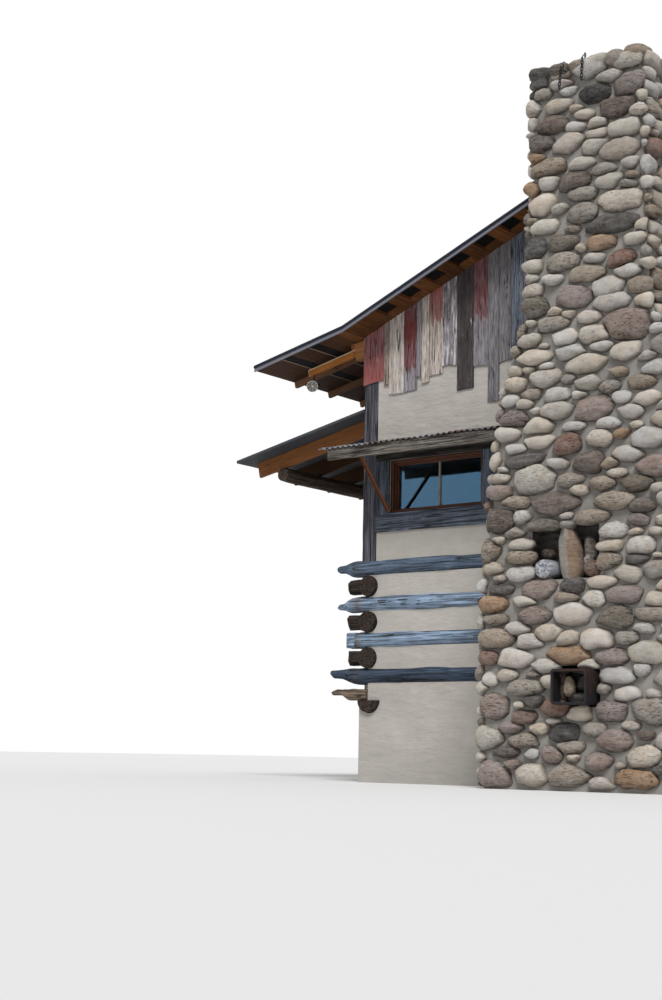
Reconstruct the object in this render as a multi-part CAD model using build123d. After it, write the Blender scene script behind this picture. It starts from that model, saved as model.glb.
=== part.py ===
from build123d import *
import os
from math import atan, degrees, hypot, radians, tan

# A log cabin with a river-stone chimney against its gable, in millimetres.
# The chimney gable faces -Y, +Z is up, and the origin lies on the ground in the middle of the plan.

# Plan
cabin_width = 6240
cabin_depth = 6600
post_size = 190
wall_thickness = 120
chimney_depth = 880
cleanout_reach = 135
rake_overhang = 390
eave_reach = 1205
porch_reach = 1771

# Levels, each counted up from the one before it: top of the footing wall, lowest gable log, the gable
# logs over it, window sill, window head and eave line
sill_height = 825
first_log_rise = 246
log_rise = 368
log_courses = 4
panel_height = 555
window_height = 550
eave_rise = 1351

# Foundation, floor and door
foundation_thickness = 240
floor_top = 300
floor_thickness = 120
door_width = 900
door_height = 1960
door_frame_width = 70
door_frame_proud = 10
door_leaf_thickness = 45
door_cut_margin = 140

# Log courses: gable logs and side logs alternate up the corners
gable_log_radius = 85
gable_log_inset = 50
side_log_radius = 108
side_log_stub = 40
side_sill_radius = 130
# One row for each gable log from the top: length of its end past the corner, then of its full
# round, then the radius of the hewn tongue at its tip
log_ends = [(333, 130, 36), (325, 160, 32), (160, 160, 72), (400, 120, 44)]
tongue_bevel = 30
tongue_tip_share = 0.75
tongue_swell = 1.1
hewn_share = 0.45
# Outline of the sill's split end: distance from its tip and height over the footing wall
sill_tongue = [(0, 90), (12, 56), (150, 52), (230, 0), (400, 0), (400, 118), (40, 112)]
sill_tongue_length = 370
sill_tongue_proud = 25
sill_tongue_width = 160
corner_block_length = 150
corner_block_height = 150
corner_block_width = 160
corner_block_proud = 20

# Upper walls, windows and their boards
window_width = 1120
window_offset = 920
frame_steps = [(12, 30, 26), (42, 30, 38), (72, 34, 50)]
mullion_width = 22
pane_thickness = 6
trim_thickness = 26
sill_board_height = 175
jamb_board_width = 140
head_board_height = 80
sill_lip = 14
hidden_end = 100

# Roof
main_angle = 22.416
eave_angle = 12.517
deck_thickness = 38
sheet_thickness = 14
sheet_lip = 12
trim_width = 20
trim_drop = 14
ridge_gap = 12
cap_width = 160
cap_thickness = 6
rafter_width = 45
rafter_depth = 140
rafter_spacing = 600
ridge_beam_width = 90
ridge_beam_depth = 260
plate_width = 140
plate_height = 150
eave_rafter_depth = 72
eave_rafter_end = 20
gable_rafter_length = 757
eave_block_length = 130
eave_block_height = 195
vent_width = 120
vent_depth = 185
vent_spacing = 300
vent_start = 404
vent_from_wall = 155

# Lean-to porches
porch_drop = 752
porch_angle = 12.112
porch_sheet_thickness = 45
porch_rafter_depth = 170
porch_rafter_setback = 131
porch_rafter_inset = 250
porch_beam_setback = 511
porch_beam_radius = 79
porch_beam_inset = 200
porch_post_radius = 90
porch_post_offset = 1400
ledger_thickness = 45
ledger_height = 190

# Chimney: half widths at heights above the ground
chimney_outline = [(1160, 0), (1175, 1330), (1130, 2200), (1005, 3170), (950, 3535),
                   (790, 4010), (690, 4260), (652, 5370), (615, 6620)]
flue_size = 300
flue_floor = 1500
flue_from_wall = 290
cleanout_width = 352
cleanout_height = 306
cleanout_centre = -95
cleanout_bottom = 739
cleanout_wall = 22
cleanout_corner = 30
cleanout_pocket = 160
niche_left = -550
niche_right = 90
niche_bottom = 1860
niche_height = 440
niche_depth = 250
# Outline of the upright stone, from the niche's floor
niche_stone = [(-275, 0), (-115, 0), (-95, 90), (-185, 440), (-265, 440), (-335, 310), (-315, 120)]
niche_stone_depth = 170
niche_stone_setback = 10
niche_stone_round = 24
niche_log_radius = 85
niche_log_centre = -433
niche_log_length = 235

# Awnings
awning_reach = 600
awning_drip = 20
awning_fascia_drop = 55
awning_fascia_height = 115
awning_fascia_thickness = 36
awning_rise = 105
sheet_overhang = 110
corrugation_pitch = 68
corrugation_height = 16
corrugated_thickness = 3
joist_width = 40
joist_height = 60
joist_clearance = 2
joist_count = 3
strut_size = 36

# Weathered boards on the gable: width and length under the roof, from the corner inward, with
# plainer ones of one width from there to the middle
board_thickness = 24
board_gap = 1
fill_board_width = 216
gable_boards = [(270, 513), (63, 652), (191, 788), (162, 866), (63, 794), (94, 895), (161, 872),
                (179, 843), (196, 1204), (170, 1063), (131, 1505), (140, 1184), (150, 1322),
                (170, 1294), (160, 1424)]

# Floodlight at the eave
lamp_radius = 62
lamp_length = 130
lamp_neck_radius = 28
lamp_neck_length = 20
lamp_rim = 12
lamp_arm_radius = 9
lamp_arm_length = 90
lamp_arm_sink = 5
lamp_aim = (0.55, -0.8, -0.25)

# Worked-out places
half = cabin_width / 2
front_reach = chimney_depth + cleanout_reach
back_reach = awning_reach + awning_drip
front_y = -(cabin_depth + back_reach - front_reach) / 2
back_y = front_y + cabin_depth
middle_y = (front_y + back_y) / 2
chimney_front = front_y - chimney_depth
chimney_height = chimney_outline[-1][1]
middle_plane = Plane(origin=(0, middle_y, 0), z_dir=(0, 1, 0))
gable_log_y = front_y + gable_log_inset
side_log_x = -half + side_log_radius
top_log_height = sill_height + first_log_rise + (log_courses - 1) * log_rise
gable_log_heights = [top_log_height - i * log_rise for i in range(log_courses)]
side_log_heights = [z - log_rise / 2 for z in gable_log_heights[:-1]]
window_sill = top_log_height + panel_height
window_head = window_sill + window_height
eave_line_height = window_head + eave_rise
porch_top_height = eave_line_height - porch_drop
awning_fascia_bottom = window_head - awning_fascia_drop
window_left = -half + window_offset - window_width / 2
window_right = window_left + window_width
main_pitch, eave_pitch, porch_pitch = [tan(radians(a)) for a in (main_angle, eave_angle, porch_angle)]
eave_x = -half - eave_reach
ridge_height = eave_line_height + main_pitch * half
rake_front = front_y - rake_overhang
rake_back = back_y + rake_overhang
door_low, door_high = middle_y - door_width / 2, middle_y + door_width / 2
door_top = floor_top + door_height


def block(x0, x1, y0, y1, z0, z1):
    """A box between two corners."""
    centre = Pos((x0 + x1) / 2, (y0 + y1) / 2, (z0 + z1) / 2)
    return centre * Box(abs(x1 - x0), abs(y1 - y0), abs(z1 - z0))


def elevation(points, y0, y1):
    """A closed outline in X and Z, run along Y."""
    face = make_face(Polyline(*[(x, y0, z) for x, z in points], close=True))
    return extrude(face, amount=y1 - y0, dir=(0, 1, 0))


def section(points, x0, x1):
    """A closed outline in Y and Z, run along X."""
    face = make_face(Polyline(*[(x0, y, z) for y, z in points], close=True))
    return extrude(face, amount=x1 - x0, dir=(1, 0, 0))


def round_log(radius, x, z, y0, y1):
    """A straight round log along Y."""
    return Pos(x, (y0 + y1) / 2, z) * Rot(90, 0, 0) * Cylinder(radius, y1 - y0)


def left_right(*shapes):
    """Each shape and its mirror image across the centre line."""
    return list(shapes) + [mirror(s, about=Plane.YZ) for s in shapes]


def front_back(*shapes):
    """Each shape and its mirror image across the middle of the cabin."""
    return list(shapes) + [mirror(s, about=middle_plane) for s in shapes]


def pieces(shape):
    """The solids of a shape or of a list of shapes."""
    if isinstance(shape, (list, tuple, ShapeList)):
        return [s for item in shape for s in pieces(item)]
    return list(shape.solids())


def cut(shapes, tools):
    """Every solid of the shapes, less the tools."""
    tools = pieces(tools)
    result = []
    for solid in pieces(shapes):
        box = solid.bounding_box()
        for tool in tools:
            near = tool.bounding_box()
            apart = (box.min.X > near.max.X or near.min.X > box.max.X or box.min.Y > near.max.Y
                     or near.min.Y > box.max.Y or box.min.Z > near.max.Z or near.min.Z > box.max.Z)
            if not apart:
                solid = solid - tool
        result.extend(pieces(solid))
    return result


def soffit(x):
    """Height of the roof boards' underside over a place across the cabin."""
    across = abs(x)
    if across > half:
        return eave_line_height - eave_pitch * (across - half)
    return eave_line_height + main_pitch * (half - across)


def save(name, shape):
    """Writes one named piece or group of like pieces."""
    export_step(Compound(children=pieces(shape)), f"parts/{name}.step")


def chimney_mass():
    """The battered stone stack before its flue and pockets are made."""
    right = list(chimney_outline)
    left = [(-w, z) for w, z in reversed(chimney_outline)]
    return elevation(right + left, chimney_front, front_y)


def gable_log(z, ends):
    """A round gable log whose ends are hewn down to a tongue past each corner."""
    tail, full, tongue = ends
    tip = half + tail
    points = [(0, 0), (tip, 0), (tip, tongue * tongue_tip_share), (tip - tongue_bevel, tongue)]
    if full < tail:
        points.append((half + full + (tail - full) * hewn_share, tongue * tongue_swell))
    points += [(half + full, gable_log_radius), (0, gable_log_radius)]
    face = make_face(Polyline(*[(x, 0, r) for x, r in points], close=True))
    log = revolve(face, Axis.X)
    log += mirror(log, about=Plane.YZ)
    return Pos(0, gable_log_y, z) * log


def sill_end():
    """The split sill end that shows only at the corner, under the lowest gable log."""
    tip, y0 = -half - sill_tongue_length, front_y - sill_tongue_proud
    points = [(tip + x, sill_height + z) for x, z in sill_tongue]
    return elevation(points, y0, y0 + sill_tongue_width)


def make_logs():
    """Gable logs, side logs and the corner blocks, seated on each other by saddles."""
    gable = front_back(*[gable_log(z, e) for z, e in zip(gable_log_heights, log_ends)])
    side_ends = front_y - side_log_stub, back_y + side_log_stub
    side = [round_log(side_log_radius, side_log_x, z, *side_ends) for z in side_log_heights]
    sill_x = -half + side_sill_radius
    sill = round_log(side_sill_radius, sill_x, sill_height, *side_ends)
    sill &= block(-half, half, rake_front, rake_back, 0, sill_height)
    side = left_right(*side)
    gable = cut(gable, side)
    blocks = []
    x0, y0 = -half - corner_block_length, front_y - corner_block_proud
    for z in side_log_heights:
        z0 = z - corner_block_height / 2
        blocks.append(block(x0, side_log_x, y0, y0 + corner_block_width, z0, z0 + corner_block_height))
    blocks = cut(front_back(*left_right(*blocks)), side)
    tongues = front_back(*left_right(sill_end()))
    return gable + tongues, side, left_right(sill), blocks


def door_way():
    """The doorway through the left wall, with room for its frame."""
    side = door_frame_width
    x0, x1 = -half - door_cut_margin, -half + 2 * side_sill_radius + door_cut_margin
    return block(x0, x1, door_low - side, door_high + side, floor_top, door_top + side)


def make_chinking(gable_logs, side_logs):
    """Stucco between the logs, cut to their rounds."""
    inner = half - side_log_radius
    y0, y1 = front_y, front_y + wall_thickness
    top = gable_log_heights[0]
    gable = front_back(block(-inner, inner, y0, y1, sill_height, top))
    x0 = side_log_x - wall_thickness / 2
    side_y0, side_y1 = gable_log_y, back_y - gable_log_inset
    side = left_right(block(x0, x0 + wall_thickness, side_y0, side_y1, sill_height, top))
    return cut(gable, gable_logs + side_logs), cut(cut(side, side_logs + gable_logs), gable)


def gable_outline(x0, x1, z0):
    """A wall outline under the two roof slopes."""
    return [(x0, z0), (x1, z0), (x1, soffit(x1)), (0, ridge_height), (x0, soffit(x0))]


def make_walls(logs):
    """Corner posts and the stucco panels between them, over the logs."""
    base = gable_log_heights[0]
    inner = half - post_size
    top = eave_line_height - plate_height
    post = block(-half, -inner, front_y, front_y + post_size, base, top)
    posts = cut(front_back(*left_right(post)), logs)
    y0, y1 = front_y, front_y + wall_thickness
    lower = cut(front_back(block(-inner, inner, y0, y1, base, window_sill)), logs)
    pier = block(-inner, window_left, y0, y1, window_sill, window_head)
    middle = block(window_right, -window_right, y0, y1, window_sill, window_head)
    piers = front_back(*left_right(pier), middle)
    gable = elevation(gable_outline(-half, half, window_head), y0, y1)
    gables = cut(front_back(gable), posts)
    x0 = side_log_x - wall_thickness / 2
    side = block(x0, x0 + wall_thickness, front_y + post_size, back_y - post_size, base, top)
    plate = block(-half, -half + plate_width, y1, back_y - wall_thickness, top, eave_line_height)
    sides = left_right(side)
    return posts, lower, piers, gables, sides, left_right(plate)


def slope_slab(x0, x1, low, high, y0, y1):
    """A slab between two vertical offsets above the soffit line."""
    points = [(x0, soffit(x0) + low), (x1, soffit(x1) + low),
              (x1, soffit(x1) + high), (x0, soffit(x0) + high)]
    return elevation(points, y0, y1)


def rake_soffit(y0, y1):
    """Boards under the rake overhang, with the row of open vents."""
    board = slope_slab(-half, -ridge_gap, 0, deck_thickness, y0, y1)
    hole = y1 - vent_from_wall - vent_depth, y1 - vent_from_wall
    x = -half + vent_start
    while x + vent_width < -ridge_gap:
        board -= block(x, x + vent_width, *hole, eave_line_height, 2 * ridge_height)
        x += vent_spacing
    return board


def make_roof(stack):
    """Boards, sheets, trims and the ridge cap, notched round the chimney."""
    inner_y0, inner_y1 = rake_front + trim_width, rake_back - trim_width
    deck = slope_slab(-half, -ridge_gap, 0, deck_thickness, front_y, back_y)
    eave = slope_slab(eave_x, -half, 0, deck_thickness, inner_y0, inner_y1)
    rake = rake_soffit(inner_y0, front_y)
    sheet_top = deck_thickness + sheet_thickness
    sheet_y = rake_front - sheet_lip, rake_back + sheet_lip
    sheet = slope_slab(-half, -ridge_gap, deck_thickness, sheet_top, *sheet_y)
    eave_sheet = slope_slab(eave_x - sheet_lip, -half, deck_thickness, sheet_top, *sheet_y)
    trim = slope_slab(-half, -ridge_gap, -trim_drop, deck_thickness, rake_front, inner_y0)
    eave_trim = slope_slab(eave_x, -half, -trim_drop, deck_thickness, rake_front, inner_y0)
    trims = front_back(*left_right(trim + eave_trim))
    cap_z = soffit(0) + sheet_top
    fall = main_pitch * cap_width
    cap_points = [(-cap_width, cap_z - fall), (0, cap_z), (cap_width, cap_z - fall),
                  (cap_width, cap_z - fall + cap_thickness), (0, cap_z + cap_thickness),
                  (-cap_width, cap_z - fall + cap_thickness)]
    cap = elevation(cap_points, front_y, sheet_y[1])
    save("roof_deck", left_right(deck))
    save("eave_decks", left_right(eave))
    save("rake_soffits", cut(front_back(*left_right(rake)), stack))
    save("roof_sheets", cut(left_right(sheet), stack))
    save("eave_sheets", left_right(eave_sheet))
    save("rake_trims", cut(trims, stack))
    save("ridge_cap", cap)


def spaced(y0, y1, spacing):
    """Centres spread evenly between two ends, near the given spacing."""
    count = max(1, round((y1 - y0) / spacing))
    return [y0 + (y1 - y0) * i / count for i in range(count + 1)]


def make_framing():
    """Rafters, ridge beam and the eave rafters below the boards."""
    beam_side = ridge_beam_width / 2
    beam_top = soffit(beam_side)
    y0, y1 = front_y + wall_thickness, back_y - wall_thickness
    beam = block(-beam_side, beam_side, y0, y1, beam_top - ridge_beam_depth, beam_top)
    thick = -rafter_width / 2, rafter_width / 2
    rafter = slope_slab(-half + plate_width, -beam_side, -rafter_depth, 0, *thick)
    inset = rafter_spacing / 2
    places = spaced(y0 + inset, y1 - inset, rafter_spacing)
    save("ridge_beam", beam)
    save("rafters", left_right(*[Pos(0, y, 0) * rafter for y in places]))
    tail = slope_slab(eave_x + eave_rafter_end, -half, -eave_rafter_depth, 0, *thick)
    tails = [Pos(0, y, 0) * tail for y in spaced(front_y + inset, back_y - inset, rafter_spacing)]
    corner_y = front_y, front_y + 2 * rafter_width
    corner = slope_slab(-half - eave_block_length, -half, -eave_block_height, 0, *corner_y)
    save("eave_rafters", left_right(*tails))
    save("gable_end_rafters", front_back(*left_right(gable_end_rafter())))
    save("eave_blocks", front_back(*left_right(corner)))


def porch_soffit(x):
    """Height of the porch sheets' underside."""
    return porch_top_height - porch_sheet_thickness - porch_pitch * (abs(x) - half)


def porch_slab(x0, x1, low, high, y0, y1):
    """A slab between two vertical offsets above the porch soffit line."""
    points = [(x0, porch_soffit(x0) + low), (x1, porch_soffit(x1) + low),
              (x1, porch_soffit(x1) + high), (x0, porch_soffit(x0) + high)]
    return elevation(points, y0, y1)


def make_porches():
    """Lean-to roofs on both sides, on rafters, round log beams and posts."""
    wall_x = side_log_x - wall_thickness / 2
    sheet = porch_slab(-half - porch_reach, -half, 0, porch_sheet_thickness, front_y, back_y)
    ledger_x = wall_x - ledger_thickness
    ledger_top = porch_soffit(half)
    ledger = block(ledger_x, wall_x, front_y + post_size, back_y - post_size,
                   ledger_top - ledger_height, ledger_top)
    rafter = porch_slab(-half - porch_reach + porch_rafter_setback, ledger_x, -porch_rafter_depth, 0,
                        -rafter_width / 2, rafter_width / 2)
    places = spaced(front_y + porch_rafter_inset, back_y - porch_rafter_inset, rafter_spacing)
    beam_x = -half - porch_reach + porch_beam_setback
    drop = porch_beam_radius * hypot(1, porch_pitch)
    beam_z = porch_soffit(beam_x) - porch_rafter_depth - drop
    beam_y = front_y + porch_beam_inset, back_y - porch_beam_inset
    beam = round_log(porch_beam_radius, beam_x, beam_z, *beam_y)
    posts = []
    for y in (middle_y - porch_post_offset, middle_y + porch_post_offset):
        posts.append(Pos(beam_x, y, beam_z / 2) * Cylinder(porch_post_radius, beam_z))
    save("porch_sheets", left_right(sheet))
    save("porch_ledgers", left_right(ledger))
    save("porch_rafters", left_right(*[Pos(0, y, 0) * rafter for y in places]))
    save("porch_beams", left_right(beam))
    save("porch_posts", cut(left_right(*posts), left_right(beam)))


def make_chimney(stack, gable_logs):
    """The stone stack with its flue, its double niche and the pocket of the steel frame."""
    flue_y = front_y - flue_from_wall - flue_size / 2
    reach = flue_size / 2
    flue = block(-reach, reach, flue_y - reach, flue_y + reach, flue_floor, 2 * chimney_height)
    niche = block(niche_left, niche_right, chimney_front - niche_depth, chimney_front + niche_depth,
                  niche_bottom, niche_bottom + niche_height)
    pane = Plane(origin=(cleanout_centre, chimney_front, cleanout_bottom + cleanout_height / 2),
                 x_dir=(1, 0, 0), z_dir=(0, -1, 0))
    outline = RectangleRounded(cleanout_width, cleanout_height, cleanout_corner)
    inner = RectangleRounded(cleanout_width - 2 * cleanout_wall, cleanout_height - 2 * cleanout_wall,
                             cleanout_corner - cleanout_wall / 2)
    pocket = extrude(pane * outline, amount=-cleanout_pocket)
    frame = extrude(pane * (outline - inner), amount=cleanout_reach)
    frame += extrude(pane * (outline - inner), amount=-cleanout_pocket)
    stone_y = chimney_front + niche_stone_setback
    points = [(x, niche_bottom + z) for x, z in niche_stone]
    stone = elevation(points, stone_y, stone_y + niche_stone_depth)
    stone = fillet(stone.edges().filter_by(Axis.Y), niche_stone_round)
    log = round_log(niche_log_radius, niche_log_centre, niche_bottom + niche_log_radius,
                    chimney_front + niche_depth - niche_log_length, chimney_front + niche_depth)
    save("chimney", cut(stack, gable_logs + [flue, niche, pocket]))
    save("cleanout_frame", frame)
    save("niche_stone", stone)
    save("niche_log", log)


def make_windows(stack):
    """Two-light windows with stepped frames, and the boards round them."""
    centre = (window_left + window_right) / 2
    frame = None
    for depth, length, member in frame_steps:
        y = front_y + depth
        ring = block(window_left, window_right, y, y + length, window_sill, window_head)
        ring -= block(window_left + member, window_right - member, y, y + length,
                      window_sill + member, window_head - member)
        frame = ring if frame is None else frame + ring
    depth, length, member = frame_steps[-1]
    y = front_y + depth
    bar = block(centre - mullion_width / 2, centre + mullion_width / 2, y, y + length,
                window_sill + member, window_head - member)
    pane_y = y + (length - pane_thickness) / 2
    pane = block(window_left + member, centre - mullion_width / 2, pane_y, pane_y + pane_thickness,
                 window_sill + member, window_head - member)
    other = Pos(2 * centre, 0, 0) * mirror(pane, about=Plane.YZ)
    y0, y1 = front_y - trim_thickness, front_y
    left = -half + post_size
    right = 2 * centre - left
    inner_left, inner_right = left + jamb_board_width, right - jamb_board_width
    sill_top = window_sill - sill_lip
    trim = block(left, -hidden_end, y0, y1, sill_top - sill_board_height, sill_top)
    trim += block(inner_left, inner_right, y0 - sill_lip, y1, sill_top, window_sill)
    trim += block(left, inner_left, y0, y1, sill_top, window_head)
    trim += block(inner_right, right, y0, y1, sill_top, window_head)
    trim += block(left, right, y0, y1, window_head, window_head + head_board_height)
    save("window_frames", front_back(*left_right(frame + bar)))
    save("window_glass", front_back(*left_right(pane, other)))
    save("window_boards", front_back(*left_right(*cut(trim, stack))))


def corrugated_sheet(width, length):
    """A thin corrugated sheet from the origin, waves across X, running along Y."""
    count = round(width / corrugation_pitch) * 2
    step = width / count
    upper, lower = [], []
    for i in range(count):
        crest = corrugation_height / 2 if i % 2 == 0 else -corrugation_height / 2
        ends = i * step, (i + 0.5) * step, (i + 1) * step
        upper.append(ThreePointArc((ends[0], 0), (ends[1], crest), (ends[2], 0)))
        low = -corrugated_thickness
        lower.append(ThreePointArc((ends[0], low), (ends[1], crest + low), (ends[2], low)))
    sides = [Line((0, 0), (0, -corrugated_thickness)), Line((width, 0), (width, -corrugated_thickness))]
    face = Plane.XZ * make_face(Wire(upper + lower + sides))
    return extrude(face, amount=length, dir=(0, 1, 0))


def make_awnings(stack):
    """Corrugated awnings over the gable windows, on joists, a fascia and rusty struts."""
    fascia_top = awning_fascia_bottom + awning_fascia_height
    y0 = front_y - awning_reach
    y1 = y0 + awning_fascia_thickness
    fascia = cut(block(-half, -hidden_end, y0, y1, awning_fascia_bottom, fascia_top), stack)
    run = awning_reach + awning_drip
    slope = awning_rise / run
    sheet_width = half + sheet_overhang - hidden_end
    sheet = corrugated_sheet(sheet_width, hypot(run, awning_rise) + corrugation_height)
    seat = fascia_top + corrugation_height / 2 + corrugated_thickness
    sheet = Pos(-half - sheet_overhang, front_y - run, seat) * Rot(degrees(atan(slope)), 0, 0) * sheet
    wall = block(-2 * half, 0, front_y, front_y + post_size, 0, ridge_height)
    drip = block(-2 * half, 0, front_y - run - post_size, front_y - run, 0, ridge_height)
    sheets = cut(sheet, stack + [wall, drip])
    joist_top = fascia_top - joist_clearance
    wall_top = joist_top + slope * (front_y - y1)
    points = [(y1, joist_top), (front_y, wall_top), (front_y, wall_top - joist_height),
              (y1, joist_top - joist_height)]
    inner_end = max(f.bounding_box().max.X for f in fascia)
    step = (inner_end + half - 3 * joist_width) / (joist_count - 1)
    places = [-half + joist_width + i * step for i in range(joist_count)]
    joists = [section(points, x, x + joist_width) for x in places]
    strut_x = -half + post_size + jamb_board_width
    foot = front_y - trim_thickness - sill_lip
    size = strut_size
    top = awning_fascia_bottom + 2 * size
    strut_points = [(foot, window_sill), (foot, window_sill + size), (y1 + size, top), (y1, top),
                    (y1, top - size)]
    strut = section(strut_points, strut_x, strut_x + size)
    save("awning_sheets", front_back(*left_right(*sheets)))
    save("awning_fascias", front_back(*left_right(*fascia)))
    save("awning_joists", front_back(*left_right(*joists)))
    save("awning_struts", front_back(*left_right(strut)))


def make_boards(stack):
    """Reclaimed boards of uneven length hung on both gables, filled in to the middle."""
    hung = []
    x = -half
    for width, length in gable_boards:
        hung.append((x, x + width, soffit(x) - length))
        x += width
    while x < -board_gap:
        hung.append((x, min(x + fill_board_width, 0), hung[0][2]))
        x += fill_board_width
    boards = []
    for x0, x1, low in hung:
        end = x1 - board_gap
        points = [(x0, low), (end, low), (end, soffit(end)), (x0, soffit(x0))]
        boards.append(elevation(points, front_y - board_thickness, front_y))
    boards = left_right(*boards)
    save("front_boards", cut(boards, stack))
    save("back_boards", [mirror(b, about=middle_plane) for b in boards])


def make_door():
    """A plank door and its frame in the left wall, under the porch."""
    x0 = -half - door_frame_proud
    x1 = -half + 2 * side_log_radius + door_frame_proud
    side = door_frame_width
    frame = block(x0, x1, door_low - side, door_high + side, floor_top, door_top + side)
    frame -= block(x0 - side, x1 + side, door_low, door_high, floor_top, door_top)
    leaf_x = x0 + side
    leaf = block(leaf_x, leaf_x + door_leaf_thickness, door_low, door_high, floor_top, door_top)
    save("door_frame", frame)
    save("door", leaf)


def gable_end_rafter():
    """The short rafter at each gable that hangs under the eave beside the corner block."""
    outer, inner = -half - gable_rafter_length, -half - eave_block_length
    thick = front_y, front_y + rafter_width
    rail = slope_slab(outer, inner, -2 * eave_rafter_depth, -eave_rafter_depth, *thick)
    return rail + slope_slab(inner - rafter_width, inner, -eave_rafter_depth, 0, *thick)


def make_lamp():
    """A round floodlight on an arm under the end rafter of the left eave."""
    x = -half - gable_rafter_length + lamp_radius
    top = Vector(x, front_y + rafter_width / 2, soffit(x) - 2 * eave_rafter_depth)
    low = top - Vector(0, 0, lamp_arm_length)
    tail, face = -lamp_length / 2, lamp_length / 2
    points = [(0, tail), (lamp_neck_radius, tail), (lamp_neck_radius, tail + lamp_neck_length),
              (lamp_radius, face - lamp_rim), (lamp_radius, face), (0, face)]
    body = revolve(make_face(Polyline(*[(r, 0, z) for r, z in points], close=True)), Axis.Z)
    centre = low + Vector(*lamp_aim).normalized() * (face - lamp_neck_radius)
    lamp = Plane(origin=centre, z_dir=lamp_aim).location * body
    arm_length = lamp_arm_length + 2 * lamp_arm_sink
    arm = Pos(top.X, top.Y, (top.Z + low.Z) / 2) * Cylinder(lamp_arm_radius, arm_length)
    save("floodlight", cut(lamp + arm, gable_end_rafter()))


os.makedirs("parts", exist_ok=True)
stack = pieces(chimney_mass())
gable_logs, side_logs, side_sills, corner_blocks = make_logs()
way = door_way()
gable_chinking, side_chinking = make_chinking(gable_logs, side_logs)
posts, lower_walls, piers, gables, side_walls, plates = make_walls(gable_logs)

thick = foundation_thickness
inside = -half + thick, half - thick, front_y + thick, back_y - thick
ring = block(-half, half, front_y, back_y, 0, sill_height) - block(*inside, 0, sill_height)
foundation = cut(cut(ring, side_sills), way)
floor = block(*inside, floor_top - floor_thickness, floor_top)

save("foundation", foundation)
save("floor", floor)
save("gable_logs", gable_logs)
save("side_logs", cut(side_logs, way))
save("side_sills", cut(side_sills, way))
save("corner_blocks", corner_blocks)
save("gable_chinking", gable_chinking)
save("side_chinking", cut(side_chinking, way))
save("corner_posts", posts)
save("lower_walls", lower_walls)
save("window_piers", piers)
save("gable_walls", gables)
save("side_walls", cut(side_walls, way))
save("wall_plates", plates)
make_roof(stack)
make_framing()
make_porches()
make_chimney(stack, gable_logs)
make_windows(stack)
make_awnings(stack)
make_boards(stack)
make_door()
make_lamp()
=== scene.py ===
import math
import random

import bpy
import numpy as np
from mathutils import Matrix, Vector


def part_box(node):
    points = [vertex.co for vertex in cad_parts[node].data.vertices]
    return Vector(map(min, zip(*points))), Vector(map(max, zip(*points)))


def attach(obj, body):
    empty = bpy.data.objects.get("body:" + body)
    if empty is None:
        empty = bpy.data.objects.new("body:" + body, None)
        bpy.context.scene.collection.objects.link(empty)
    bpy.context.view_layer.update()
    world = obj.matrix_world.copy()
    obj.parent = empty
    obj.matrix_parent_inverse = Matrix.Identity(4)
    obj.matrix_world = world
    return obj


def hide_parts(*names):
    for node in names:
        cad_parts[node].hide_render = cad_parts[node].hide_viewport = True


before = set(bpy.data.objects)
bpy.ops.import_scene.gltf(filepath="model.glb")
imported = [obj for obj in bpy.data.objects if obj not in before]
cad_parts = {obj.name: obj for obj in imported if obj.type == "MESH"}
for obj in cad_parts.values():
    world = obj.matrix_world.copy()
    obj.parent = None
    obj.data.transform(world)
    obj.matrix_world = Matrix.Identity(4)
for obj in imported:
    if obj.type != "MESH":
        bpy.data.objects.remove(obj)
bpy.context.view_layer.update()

# Stucco walls
# Cream lime stucco over the footing wall, between the logs and above them. It was laid by trowel, and
# has gone blotchy, and is darker grey towards the ground.
stucco_colour = (0.44, 0.413, 0.373)
stucco_dark_colour = (0.29, 0.275, 0.255)
stucco_pale_colour = (0.55, 0.527, 0.487)


class Value:
    """A node's output. Sums on it add nodes, and brackets pick another output of its node."""

    def __init__(self, socket):
        self.socket = socket

    def __getitem__(self, name):
        return Value(self.socket.node.outputs[name])

    def __add__(self, other):
        return maths("ADD", self, other)

    def __sub__(self, other):
        return maths("SUBTRACT", self, other)

    def __rsub__(self, other):
        return maths("SUBTRACT", other, self)

    def __mul__(self, other):
        return maths("MULTIPLY", self, other)

    def __truediv__(self, other):
        return maths("DIVIDE", self, other)

    def __rtruediv__(self, other):
        return maths("DIVIDE", other, self)

    def __abs__(self):
        return maths("ABSOLUTE", self)


def feed(node, value, key="Base Color"):
    """Gives a node's input another node's output or a plain value."""
    if isinstance(value, Value):
        node.id_data.links.new(value.socket, node.inputs[key])
    else:
        colour = node.inputs[key].type == "RGBA" and len(value) == 3
        node.inputs[key].default_value = (*value, 1) if colour else value


def place(tree, kind, inputs=(), **settings):
    """Adds a shader node and gives its first output."""
    made = tree.nodes.new("ShaderNode" + kind)
    for key, value in settings.items():
        setattr(made, key, value)
    for key, value in dict(inputs).items():
        feed(made, value, key)
    return Value(made.outputs[0])


def tree_of(*values):
    """The node tree that these values are in."""
    return next(v.socket.id_data for v in values if isinstance(v, Value))


def maths(how, first, second=0.0):
    """One sum on two values."""
    return place(tree_of(first, second), "Math", {0: first, 1: second}, operation=how)


def ramp(factor, *stops):
    """A smooth ramp; each stop is a place and a grey value or a colour."""
    made = place(tree_of(factor), "ValToRGB", {"Fac": factor})
    line = made.socket.node.color_ramp
    while len(line.elements) < len(stops):
        line.elements.new(0.5)
    for element, (spot, value) in zip(line.elements, stops):
        element.position = spot
        element.color = (*(np.zeros(3) + value), 1)
    return made


def blend(factor, first, second, how="MIX"):
    """One colour laid over another."""
    made = place(tree_of(factor, first, second), "Mix", {0: factor, 6: first, 7: second}, data_type="RGBA",
                 blend_type=how)
    return Value(made.socket.node.outputs[2])


def tinted(colour, tint):
    """A colour times a tint."""
    return blend(1.0, colour, tint, "MULTIPLY")


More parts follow.
